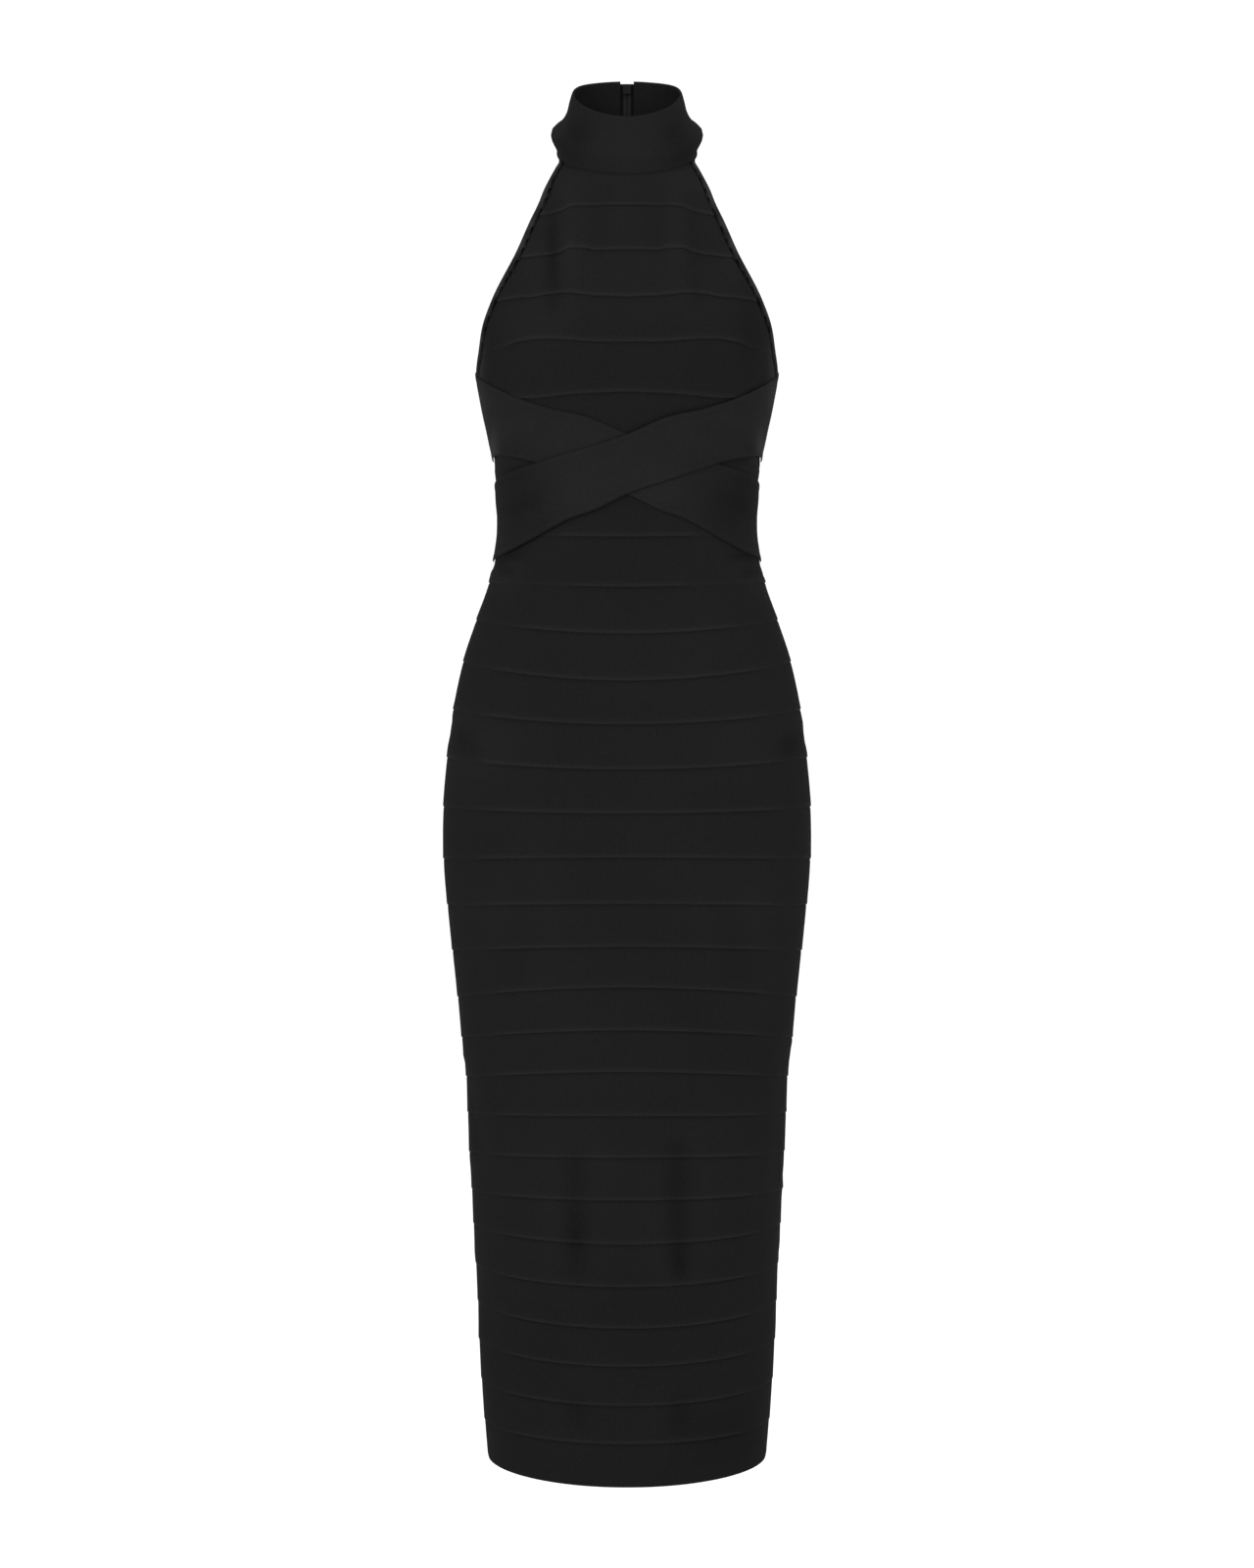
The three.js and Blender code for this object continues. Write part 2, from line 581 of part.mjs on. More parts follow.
// The slider: a plate on each side of the chain, joined above it, and a crown that carries the pull tab.
function sliderGeometry() {
  const outerPlate = zipFace + chain.top + SLIDER_CLEARANCE;
  const innerPlate = zipFace + chain.bottom - SLIDER_CLEARANCE;
  const throat = ZIP_TOP_HEIGHT + SEAM_GAP;
  const plates = new THREE.Shape();
  plates.moveTo(innerPlate - SLIDER_PLATE, SLIDER_BOTTOM);
  plates.lineTo(innerPlate, SLIDER_BOTTOM);
  plates.lineTo(innerPlate, throat);
  plates.lineTo(outerPlate, throat);
  plates.lineTo(outerPlate, SLIDER_BOTTOM);
  plates.lineTo(sliderFace, SLIDER_BOTTOM);
  plates.lineTo(sliderFace, SLIDER_TOP);
  plates.lineTo(innerPlate - SLIDER_PLATE, SLIDER_TOP);
  const crown = new THREE.Shape();
  const root = sliderFace - CROWN_ROOT;
  const rise = CROWN_RISE + CROWN_ROOT;
  crown.absellipse(root, PIVOT_HEIGHT, rise, CROWN_HALF_LENGTH, -Math.PI / 2, Math.PI / 2, false, 0);
  const eye = new THREE.Path();
  eye.absarc(pivotDepth, PIVOT_HEIGHT, CROWN_EYE_RADIUS, 0, 2 * Math.PI, true);
  crown.holes.push(eye);
  return joined(extrudedAcross(plates, SLIDER_WIDTH), extrudedAcross(crown, CROWN_WIDTH));
}

// The pull tab hangs straight down from the bar at its top, which lies in the crown's eye.
function pullTabGeometry() {
  const top = PIVOT_HEIGHT + TAB_WALL / 2;
  const endCentre = PIVOT_HEIGHT - TAB_LENGTH + TAB_HALF_WIDTH;
  const plate = new THREE.Shape();
  plate.moveTo(-TAB_HALF_WIDTH, top);
  plate.lineTo(-TAB_HALF_WIDTH, endCentre);
  plate.absarc(0, endCentre, TAB_HALF_WIDTH, Math.PI, 2 * Math.PI, false);
  plate.lineTo(TAB_HALF_WIDTH, top);
  const windowTop = PIVOT_HEIGHT - TAB_WALL / 2;
  const window = new THREE.Path();
  window.moveTo(-TAB_WINDOW_HALF_WIDTH, windowTop);
  window.lineTo(TAB_WINDOW_HALF_WIDTH, windowTop);
  window.lineTo(TAB_WINDOW_HALF_WIDTH, windowTop - TAB_WINDOW_LENGTH);
  window.lineTo(-TAB_WINDOW_HALF_WIDTH, windowTop - TAB_WINDOW_LENGTH);
  plate.holes.push(window);
  const options = { depth: TAB_WALL, bevelEnabled: false, curveSegments: ARC_STEPS };
  const geometry = new THREE.ExtrudeGeometry(plate, options);
  return geometry.rotateX(Math.PI / 2).translate(0, pivotDepth + TAB_WALL / 2, 0);
}

const dress = new THREE.Group();
function addPiece(name, geometry, finish) {
  geometry.computeVertexNormals();
  const mesh = new THREE.Mesh(geometry, new THREE.MeshStandardMaterial(finish));
  mesh.name = name;
  dress.add(mesh);
}

function addPair(name, leftGeometry, finish) {
  addPiece(`${name}_left`, leftGeometry, finish);
  addPiece(`${name}_right`, mirrored(leftGeometry), finish);
}

addPiece("collar", collarGeometry(), CLOTH);
addPiece("front_bodice", panelGeometry(frontBodiceRows, frontEdges, FRONT_COLUMNS), CLOTH);
addPiece("front_skirt", panelGeometry(frontSkirtRows, frontEdges, FRONT_COLUMNS), CLOTH);
addPair("back_bodice", panelGeometry(backBodiceRows, backEdges, BACK_COLUMNS), CLOTH);
addPair("back_skirt", panelGeometry(backSkirtRows, backEdges, BACK_COLUMNS), CLOTH);
addPiece("cross_band_under", crossBandGeometry(-1, false), CLOTH);
addPiece("cross_band_over", crossBandGeometry(1, true), CLOTH);
addPair("armhole_binding", bindingGeometry(), CLOTH);
addPair("zip", zipGeometry(), TAPE);
addPiece("zip_slider", sliderGeometry(), ENAMEL);
addPiece("zip_pull_tab", pullTabGeometry(), ENAMEL);

export default dress;
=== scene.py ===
import math

import bpy
import mathutils
import numpy as np
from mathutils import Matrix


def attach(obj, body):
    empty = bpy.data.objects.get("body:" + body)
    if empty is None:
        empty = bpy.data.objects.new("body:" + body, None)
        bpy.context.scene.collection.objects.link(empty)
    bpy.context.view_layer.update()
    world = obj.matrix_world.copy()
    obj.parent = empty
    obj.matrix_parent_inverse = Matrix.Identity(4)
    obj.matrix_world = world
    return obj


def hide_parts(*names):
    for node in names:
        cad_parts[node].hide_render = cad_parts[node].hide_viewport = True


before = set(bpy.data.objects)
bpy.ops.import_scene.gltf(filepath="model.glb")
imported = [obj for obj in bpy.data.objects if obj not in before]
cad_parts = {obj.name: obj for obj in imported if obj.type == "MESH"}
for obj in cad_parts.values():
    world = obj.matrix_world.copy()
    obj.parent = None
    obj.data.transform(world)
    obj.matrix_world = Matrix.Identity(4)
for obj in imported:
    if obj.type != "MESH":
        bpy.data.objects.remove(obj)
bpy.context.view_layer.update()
bpy.ops.object.select_all(action="DESELECT")

# The front and back panels are bandage knit: strips of dense viscose and elastane about 4 cm wide, linked
# edge on edge from collar to hem, so that each strip's lower edge stands a little over the next one. The
# front is one piece round to the side seams, and the back is two halves that meet at the zip.
KNIT_WALL = 2.0
SQUARENESS = 2.2  # of a level section: 2 is an ellipse
FRONT_COLUMNS = 156
BACK_COLUMNS = 92  # of each half
SURFACE_STEP = 0.01
SIDE_SEAM = 90  # how far round from the middle, in degrees
# Where two panels are sewn together their edges turn in: how deep, over what width, and how much painted
# shade lies in the turn.
SEAM_TURN_IN = 0.9
SEAM_TURN_IN_WIDTH = 1.6
SEAM_TURN_IN_SHADE = 0.35

# Lengths are in millimetres until a mesh is made. One row for each strip's seam, from the collar down to the
# hem: its height at the front, sides and back, and the half width, depths and bust of the dress there.
SEAM_COLUMNS = ("front", "side", "back", "half_width", "front_depth", "back_depth", "bust")
SEAMS = [
    (-51.4, -20, 5, 64.5, 68, 68, 0),
    (-82, -87, -46, 118, 80, 84, 1),
    (-123, -124, -97, 132, 92, 95, 5),
    (-166, -162, -148, 137.5, 101, 99, 11),
    (-208, -208, -199, 139, 103, 98, 13),
    (-252, -250, -250, 132.6, 98, 93, 5),
    (-293, -293, -290, 123.5, 91, 87, 0),
    (-336, -336, -335, 118.8, 86, 82, 0),
    (-378, -372, -374, 117.8, 85, 83, 0),
    (-423, -414, -416, 126.6, 88, 90, 0),
    (-465, -448, -454, 138.2, 94, 101, 0),
    (-507, -486, -494, 150.2, 100, 112, 0),
    (-546, -530, -536, 159.1, 105, 120, 0),
    (-586, -574, -578, 164.9, 108, 125, 0),
    (-625, -619, -620, 168.3, 110, 127, 0),
    (-664, -667, -663, 168.2, 110, 124, 0),
    (-705, -709, -706, 164.6, 110, 118, 0),
    (-743, -751, -748, 160, 109, 113, 0),
    (-779, -794, -789, 155.1, 108, 109, 0),
    (-817, -831, -828, 151.4, 107, 106, 0),
    (-854, -867, -866, 147.7, 106, 104, 0),
    (-893, -900, -903, 146, 105.5, 103, 0),
    (-930, -935.5, -940, 144.2, 105, 102, 0),
    (-968, -969, -976, 142.2, 104.5, 101, 0),
    (-1007, -1000.5, -1011, 140.6, 104, 101, 0),
    (-1045, -1037, -1047, 138.8, 103, 100, 0),
    (-1082, -1071, -1082, 137, 102, 100, 0),
    (-1116, -1106, -1116, 135.4, 101, 99, 0),
    (-1151, -1142, -1151, 133.3, 100, 99, 0),
    (-1185, -1179, -1185, 130.4, 99.5, 98, 0),
    (-1223.5, -1214, -1220, 127, 99, 98, 0),
]
HEM = len(SEAMS) - 1
WAIST = 7
BACK_STRIPS_ABOVE = 6  # the back has one strip more above the fifth seam
FIRST_SHARED_SEAM = 5
FRONT_SEAM_ROWS = [float(row) for row in range(HEM + 1)]
BACK_SEAM_ROWS = [k * FIRST_SHARED_SEAM / BACK_STRIPS_ABOVE for k in range(BACK_STRIPS_ABOVE)]
BACK_SEAM_ROWS += FRONT_SEAM_ROWS[FIRST_SHARED_SEAM:]
BUST_COLUMNS = ("across", "share")
BUST = [(0, 0.6), (30, 0.78), (60, 1), (88, 0.58), (112, 0.16), (135, 0)]

# Where the panels are cut for the armhole: how far round from the middle, in degrees, by seam row.
UNDERARM_ROW = 4.48
ARMHOLE_COLUMNS = ("row", "turn")
FRONT_ARMHOLE = [
    (0, 62),
    (0.33, 52.4),
    (0.66, 44.2),
    (1, 41),
    (2, 45.5),
    (3, 57.5),
    (3.5, 64.5),
    (4, 69.5),
    (4.17, 72.8),
    (4.33, 77.4),
    (4.42, 81.8),
    (UNDERARM_ROW, 90),
]
BACK_ARMHOLE = [
    (0, 60),
    (0.33, 43),
    (0.66, 38),
    (1, 36.5),
    (2, 40.5),
    (3, 51),
    (4, 65),
    (4.17, 69.5),
    (4.33, 75.5),
    (4.42, 80.8),
    (UNDERARM_ROW, 90),
]

# One strip's outer face from its upper seam down to its free edge: share of its height, lift, and painted
# shade:
# a painted shadow just below its upper seam, under the strip above, and a painted highlight along its raised
# lower edge.
STRIP_PROFILE = [
    (0.000, -0.40, 0.10),
    (0.012, -0.25, -0.10),
    (0.028, -0.05, -0.16),
    (0.055, 0.05, -0.05),
    (0.130, 0.12, 0.00),
    (0.270, 0.20, 0.00),
    (0.430, 0.28, 0.00),
    (0.600, 0.36, 0.00),
    (0.760, 0.44, 0.00),
    (0.880, 0.54, 0.03),
    (0.935, 0.62, 0.20),
    (0.965, 0.64, 0.45),
    (0.988, 0.40, 0.35),
]
MEAN_LIFT = 0.3
# How far across its strip a seam is crisp before it sinks into the stretched cloth, by seam row; its painted
# highlight and shadow fade as it sinks.
CRISP_ROWS = (0, 3.4, 3.9, 5, 6, 7, 8, 9, 10, 11, 30)
CRISP_SHARE = (0.98, 0.98, 0.68, 0.74, 0.98, 0.50, 0.42, 0.30, 0.62, 0.70, 0.70)
SINK_WIDTH = 0.16  # share of the half width over which it sinks
SINK_DEPTH = 0.75
SEAM_RETURN = 0.975  # share of the half width where it shows again, beside the side seam
SEAM_RETURN_WIDTH = 0.035
PUCKER = 0.05  # how far the linking stitches pull the strips up and down
# painted shade on a panel's top edge, where it lies under the piece above
TOP_EDGE = (-0.2, -0.1)  # lift and shade of a panel's top edge, under the piece above it
HEM_LIFT = (0.3, 0.2, 0.0, -0.5)  # the hem rolls in over its last rows
HEM_SHADE = (0, 0, 0.1, 0.1)
CREASE_SHADE = 0.1  # painted shade in a crease: how much darker, for each millimetre of depth

# The seams over the bust are pulled up and down by the shape below: height added, by seam row and by
# distance from the middle.
SWAY_ACROSS = (0, 26, 40, 51, 60, 70, 83, 97, 112, 130)
SWAY = [
    (0, 0, 0, 0, 0, 0, 0, 0, 0, 0),
    (1.1, 1.8, 3.1, 3.4, 0.4, -0.8, -0.8, -0.4, 0, 0),
    (-0.5, -0.5, 1.9, 2.9, -0.2, -1.6, -1.6, -0.6, 0, 0),
    (-1.2, -0.4, 1.0, 2.5, 2.8, 2.4, 0.9, 1.6, 1.4, 0),
    (0.4, 0.4, 1.3, 2.3, 3.4, 4.4, 5.3, 4.6, 2.0, -1.0),
    (1.4, 0.5, 0, -0.6, -1.4, -2.2, -2.8, -2.4, -1.0, 0),
    (0, 0, 0, 0, 0, 0, 0, 0, 0, 0),
]
STRIP_HEIGHT = 41
# Soft creases: from one point to another, as across and height, with a depth and a width.
FRONT_CREASES = [
    (-66, -66, -63, -172, 0.9, 9),
    (59, -70, 61, -168, 0.8, 9),
    (-30, -70, -26, -120, 0.4, 12),
    (24, -62, 27, -118, 0.4, 12),
    (-117, -286, -122, -306, 1.3, 4),
    (117, -272, 122, -304, 1.4, 4),
    (-122, -396, -106, -408, 1.6, 5),
    (123, -402, 108, -410, 1.5, 5),
    (-160, -548, -136, -572, 1.1, 8),
    (160, -556, 142, -566, 1.1, 7),
    (-148, -858, -135, -932, 1.3, 6),
    (146, -846, 137, -956, 1.3, 6),
    (-46, -936, -45, -1030, 1.0, 12),
    (45, -930, 46, -1018, 1.1, 12),
    (-45, -984, -46, -1010, 0.4, 8),
    (46, -1012, 47, -1032, 0.6, 8),
    (-46, -1150, -44, -1166, 0.6, 10),
    (48, -1146, 46, -1172, 0.6, 10),
    (-92, -690, -98, -760, 0.5, 14),
    (90, -700, 99, -770, 0.5, 14),
    (-140, -1040, -128, -1090, 0.7, 7),
    (138, -1030, 127, -1082, 0.6, 7),
]
# Painted light and shade: soft lighter and darker places, as across, height, half width, half height and
# amount.
# The strongest are painted highlights at the bust sides and painted shadow under the crossed bands' lower
# edges.
FRONT_SHADES = [
    (-53, -126, 8, 44, 0.13),
    (-67, -126, 6, 36, -0.22),
    (-84, -134, 10, 24, 0.06),
    (92, -132, 10, 18, 0.10),
    (78, -120, 8, 30, -0.06),
    (-136, -214, 6, 24, 1.2),
    (136, -212, 6, 26, 1.5),
    (43, -112, 9, 34, 0.10),
    (-82, -190, 24, 20, 0.13),
    (110, -192, 13, 30, -0.16),
    (-127, -192, 12, 26, -0.12),
    (-110, -391, 16, 5, -0.40),
    (110, -393, 16, 5, -0.40),
    (-126, -562, 24, 28, 0.12),
    (94, -562, 26, 26, 0.11),
    (-144, -558, 14, 13, -0.11),
    (148, -564, 13, 12, -0.13),
    (-100, -706, 40, 26, 0.08),
    (105, -706, 40, 26, 0.08),
    (-46, -984, 10, 52, -0.08),
    (45, -978, 11, 54, -0.13),
    (-45, -1000, 7, 10, -0.10),
    (47, -1030, 7, 9, -0.13),
    (-52, -68, 20, 18, 0.08),
    (52, -62, 22, 14, 0.08),
    (-112, -416, 14, 14, 0.10),
    (122, -416, 12, 14, 0.10),
    (-45, -1158, 9, 9, -0.10),
    (46, -1160, 10, 11, -0.10),
    (92, -1186, 34, 26, -0.10),
    (58, -1190, 34, 40, -0.08),
    (0, -1240, 260, 190, -0.10),
]
# Painted light and shade of the back, in the same columns.
BACK_SHADES = [
    (-60, -130, 9, 50, 0.10),
    (58, -120, 9, 45, 0.10),
    (-95, -560, 32, 34, 0.10),
    (92, -566, 30, 32, 0.10),
    (-110, -380, 20, 14, -0.15),
    (112, -376, 20, 14, -0.15),
    (-50, -1000, 13, 80, -0.10),
    (50, -990, 13, 80, -0.12),
    (0, -1240, 260, 190, -0.10),
]
BACK_CREASES = [
    (-118, -300, -90, -312, 1.2, 6),
    (118, -296, 88, -310, 1.3, 6),
    (-112, -352, -62, -362, 1.3, 7),
    (113, -346, 58, -358, 1.2, 7),
    (-118, -396, -84, -408, 1.2, 6),
    (120, -392, 80, -404, 1.1, 6),
    (-150, -640, -128, -668, 1.2, 8),
    (152, -646, 130, -676, 1.2, 8),
    (-96, -690, -40, -706, 1.2, 10),
    (98, -696, 44, -712, 1.1, 10),
    (-142, -846, -130, -930, 1.2, 7),
    (141, -852, 131, -940, 1.2, 7),
    (-52, -900, -50, -1080, 1.0, 14),
    (54, -890, 51, -1075, 1.0, 14),
    (-60, -60, -62, -160, 0.8, 10),
    (62, -58, 60, -150, 0.8, 10),
]


def smooth_curve(places, values):
    """The smooth curve through the values, as a function of the place."""
    places = np.array(places, float)
    values = np.array(values, float)

    def curve(where):
        k = np.clip(np.searchsorted(places, where, "right") - 1, 0, len(places) - 2)
        before = np.where(k > 0, k - 1, k + 1)
        after = np.where(k < len(places) - 2, k + 2, k)
        width = places[k + 1] - places[k]
        back = 0.5 * width / (places[k] - places[before])
        on = 0.5 * width / (places[after] - places[k + 1])
        p = np.clip((where - places[k]) / width, 0, 1)
        return (
            (-back * p**3 + 2 * back * p**2 - back * p) * values[before]
            + ((1 + back) * p**3 - (1.5 + 2 * back) * p**2 + (back - 0.5) * p + 1) * values[k]
            + ((-1 - on) * p**3 + (1.5 + on) * p**2 + 0.5 * p) * values[k + 1]
            + (on * p**3 - on * p**2) * values[after]
        )

    return curve


def curves_of(columns, rows, places=None):
    """One smooth curve for each column of a table, by place, or by the first column."""
    named = {name: [row[k] for row in rows] for k, name in enumerate(columns)}
    places = named.pop(columns[0]) if places is None else places
    return {name: smooth_curve(places, values) for name, values in named.items()}


body = curves_of(SEAM_COLUMNS, SEAMS, FRONT_SEAM_ROWS)
bust_share = curves_of(BUST_COLUMNS, BUST)["share"]
front_armhole = curves_of(ARMHOLE_COLUMNS, FRONT_ARMHOLE)["turn"]
back_armhole = curves_of(ARMHOLE_COLUMNS, BACK_ARMHOLE)["turn"]


def section_point(section, turn):
    """A point of a tilted level section. The turn is in degrees from the front to the wearer's left."""
    across = np.sin(np.radians(turn))
    ahead = np.cos(np.radians(turn))
    size = (np.abs(across) ** SQUARENESS + np.abs(ahead) ** SQUARENESS) ** (1 / SQUARENESS)
    depth = np.where(ahead > 0, section["front_depth"], section["back_depth"])
    tilt = (section["front"] - section["back"]) / 2
    bow = (section["front"] + section["back"]) / 2 - section["side"]
    x = section["half_width"] * across / size
    y = -depth * ahead / size
    z = section["side"] + tilt * ahead + bow * ahead**2
    return np.stack(np.broadcast_arrays(x, y, z), axis=-1)


def dress_point(row, turn):
    """The outer face of the dress below the collar, by seam row and turn."""
    section = {name: curve(row) for name, curve in body.items()}
    point = section_point(section, turn)
    in_front = np.abs(turn) < 90
    point[..., 1] -= np.where(in_front, section["bust"] * bust_share(np.abs(point[..., 0])), 0)
    return point


def outward(surface, down, turn):
    """The direction out of a surface."""
    below = surface(down + SURFACE_STEP, turn) - surface(down - SURFACE_STEP, turn)
    beside = surface(down, turn + SURFACE_STEP) - surface(down, turn - SURFACE_STEP)
    normal = np.cross(below, beside)
    return normal / np.linalg.norm(normal, axis=-1, keepdims=True)


def turn_at(across, half_width):
    """The turn at which a section is this far across."""
    share = (across / half_width) ** SQUARENESS
    return np.degrees(np.arctan((share / (1 - share)) ** (1 / SQUARENESS)))


def eased(share):
    """A share from 0 to 1 that starts and ends softly."""
    return share**2 * (3 - 2 * share)


def crease_depth(points, creases):
    """How far the creases push each point in. Beside its trough a crease has a low ridge."""
    depth = np.zeros(points.shape[:-1])
    place = points[..., [0, 2]]
    for x, z, end_x, end_z, deep, wide in creases:
        start = np.array([x, z])
        along = np.array([end_x - x, end_z - z])
        share = np.clip(((place - start) @ along) / (along @ along), 0, 1)
        away = np.linalg.norm(place - start - share[..., None] * along, axis=-1) / wide
        depth += deep * (np.exp(-(away**2)) - 0.35 * np.exp(-((away - 1.9) ** 2)))
    return depth


def shade_of(points, shades):
    """How much painted light and shade lighten or darken the cloth at each point."""
    shade = np.zeros(points.shape[:-1])
    for x, z, half_width, half_height, amount in shades:
        away = ((points[..., 0] - x) / half_width) ** 2 + ((points[..., 2] - z) / half_height) ** 2
        shade += amount * np.exp(-away)
    return shade


def sway_of(row, across):
    """How far a point of the bodice is pulled up along with the seams over the bust."""
    columns = [smooth_curve(range(len(SWAY)), column)(row) for column in zip(*SWAY)]
    place = np.interp(np.abs(across), SWAY_ACROSS, range(len(SWAY_ACROSS)))
    sway = np.zeros(row.shape)
    for k, column in enumerate(columns):
        near = np.clip(1 - np.abs(place - k), 0, 1)
        sway += column * eased(near)
    return sway


def strip_rows(seams, first, last):
    """Rows of vertices down the strips from one seam row to another, with the lift and shade of each."""
    rows = []
    for top, bottom in zip(seams, seams[1:]):
        if first <= top < last:
            rows += [(top + (bottom - top) * share, lift, shade) for share, lift, shade in STRIP_PROFILE]
    rows[0] = (rows[0][0], *TOP_EDGE)
    rows.append((last, 0.0, 0.0))
    return np.array(rows).T


def lengths_along(points, axis):
    """Lengths along a grid's rows or columns, from the first point, in metres."""
    steps = np.linalg.norm(np.diff(points, axis=axis), axis=-1)
    start = np.zeros_like(np.take(steps, [0], axis=axis))
    return np.concatenate((start, np.cumsum(steps, axis=axis)), axis=axis) / 1000


def cloth_piece(name, points, faces, flat, shade):
    """A piece of cloth, with its knit laid out in metres as its UV map and its painted light and shade for
    each point.
    """
    mesh = bpy.data.meshes.new(name)
    mesh.from_pydata((points / 1000).tolist(), [], faces)
    corner = np.empty(len(mesh.loops), int)
    mesh.loops.foreach_get("vertex_index", corner)
    mesh.uv_layers.new(name="knit").data.foreach_set("uv", flat[corner].ravel())
    mesh.attributes.new("shade", "FLOAT", "POINT").data.foreach_set("value", shade)
    mesh.shade_smooth()
    mesh.set_sharp_from_angle(angle=math.radians(60))
    piece = bpy.data.objects.new(name, mesh)
    bpy.context.scene.collection.objects.link(piece)
    return piece


def shell_mesh(name, outer, inner, shade, inner_shade=0.0):
    """A closed wall of cloth between two grids of points."""
    height, width = outer.shape[:2]
    count = height * width
    number = np.arange(count).reshape(height, width)
    upper_left, upper_right = number[:-1, :-1].ravel(), number[:-1, 1:].ravel()
    lower_left, lower_right = number[1:, :-1].ravel(), number[1:, 1:].ravel()
    faces = [
        np.stack((upper_left, lower_left, lower_right, upper_right), axis=1),
        np.stack((upper_left, upper_right, lower_right, lower_left), axis=1) + count,
    ]
    for edge in (number[0], number[::-1, 0], number[-1, ::-1], number[:, -1]):
        faces.append(np.stack((edge[:-1], edge[1:], edge[1:] + count, edge[:-1] + count), axis=1))
    points = np.concatenate((outer.reshape(-1, 3), inner.reshape(-1, 3)))
    across = lengths_along(outer, 1)
    down = np.broadcast_to(lengths_along(outer, 0)[:, [width // 2]], across.shape)
    flat = np.stack((across - across[:, [width // 2]], -down), axis=-1).reshape(-1, 2)
    shades = np.concatenate((shade.ravel(), np.broadcast_to(inner_shade, shade.shape).ravel()))
    return cloth_piece(name, points, np.concatenate(faces).tolist(), np.concatenate((flat, flat)), shades)


def node_of(tree, kind, inputs=(), **settings):
    """A new shader node with its settings and its inputs, which are values or other nodes' outputs."""
    node = tree.nodes.new(kind)
    for name, value in settings.items():
        setattr(node, name, value)
    for name, value in dict(inputs).items():
        if isinstance(value, bpy.types.NodeSocket):
            tree.links.new(value, node.inputs[name])
        else:
            node.inputs[name].default_value = value
    return node


def math_of(tree, operation, first, second):
    """The output of a Math node."""
    return node_of(tree, "ShaderNodeMath", {0: first, 1: second}, operation=operation).outputs[0]


NUMBER = "NodeSocketFloat"
COLOR = "NodeSocketColor"


def shader_group(name, inputs, outputs):
    """A new group of shader nodes, with what it is given and what it makes."""
    group = bpy.data.node_groups.new(name, "ShaderNodeTree")
    for direction, sockets in (("INPUT", inputs), ("OUTPUT", outputs)):
        for socket_name, kind in sockets.items():
            group.interface.new_socket(socket_name, in_out=direction, socket_type=kind)
    given = group.nodes.new("NodeGroupInput").outputs
    made = group.nodes.new("NodeGroupOutput").inputs
    return group, given, made


# How much the ribs, the uneven dye and the single yarns lighten or darken the knit.
RIB_TONE = 0.10
DYE_TONE = 0.22
YARN_TONE = 0.5
DARKEST = 0.15  # share of the knit's own tone that is left in the deepest shade
DYE_SCALE = 9.0
YARN_SCALE = 620.0


def knit_group():
    """Dense fine-ribbed knit: wales and courses from the UV map, with uneven dye, a little lint, and painted
    light and shade from the shade attribute.
    """
    group, given, made = shader_group(
        "fine_rib_knit",
        {"Tone": NUMBER, "Wale": NUMBER, "Course": NUMBER},
        {"Color": COLOR, "Roughness": NUMBER, "Height": NUMBER},
    )
    flat = node_of(group, "ShaderNodeUVMap", uv_map="knit").outputs[0]
    split = node_of(group, "ShaderNodeSeparateXYZ", {0: flat}).outputs
    wale_turns = math_of(group, "DIVIDE", split["X"], given["Wale"])
    course_turns = math_of(group, "DIVIDE", split["Y"], given["Course"])
    wale_wave = math_of(group, "SINE", math_of(group, "MULTIPLY", wale_turns, 2 * math.pi), 0.0)
    # each course is a row of small V loops: it dips where the wale does
    bent = math_of(group, "ADD", course_turns, math_of(group, "MULTIPLY", wale_wave, 0.3))
    course_wave = math_of(group, "SINE", math_of(group, "MULTIPLY", bent, 2 * math.pi), 0.0)
    knit = math_of(group, "ADD", wale_wave, math_of(group, "MULTIPLY", course_wave, 0.55))
    place = node_of(group, "ShaderNodeTexCoord").outputs["Object"]
    cloudy = {"Vector": place, "Scale": DYE_SCALE, "Detail": 3.0}
    fine = {"Vector": place, "Scale": YARN_SCALE, "Detail": 2.0}
    dye = node_of(group, "ShaderNodeTexNoise", cloudy).outputs[0]
    yarn = node_of(group, "ShaderNodeTexNoise", fine).outputs[0]
    dyed = math_of(group, "MULTIPLY", math_of(group, "SUBTRACT", dye, 0.5), DYE_TONE)
    linty = math_of(group, "MULTIPLY", math_of(group, "SUBTRACT", yarn, 0.5), YARN_TONE)
    # painted light and shade, from the mesh's shade attribute
    painted_light_and_shade = node_of(group, "ShaderNodeAttribute", attribute_name="shade").outputs["Fac"]
    shade = math_of(group, "ADD", 1.0, math_of(group, "MULTIPLY", knit, RIB_TONE))
    for part in (dyed, linty, painted_light_and_shade):
        shade = math_of(group, "ADD", shade, part)
    tone = math_of(group, "MULTIPLY", given["Tone"], math_of(group, "MAXIMUM", shade, DARKEST))
    color = node_of(group, "ShaderNodeCombineColor", {0: tone, 1: tone, 2: tone}).outputs[0]
    rough = math_of(group, "ADD", 0.72, math_of(group, "MULTIPLY", yarn, 0.16))
    height = math_of(group, "ADD", knit, math_of(group, "MULTIPLY", yarn, 1.4))
    for name, value in (("Color", color), ("Roughness", rough), ("Height", height)):
        group.links.new(value, made[name])
    return group


fine_rib_knit = knit_group()


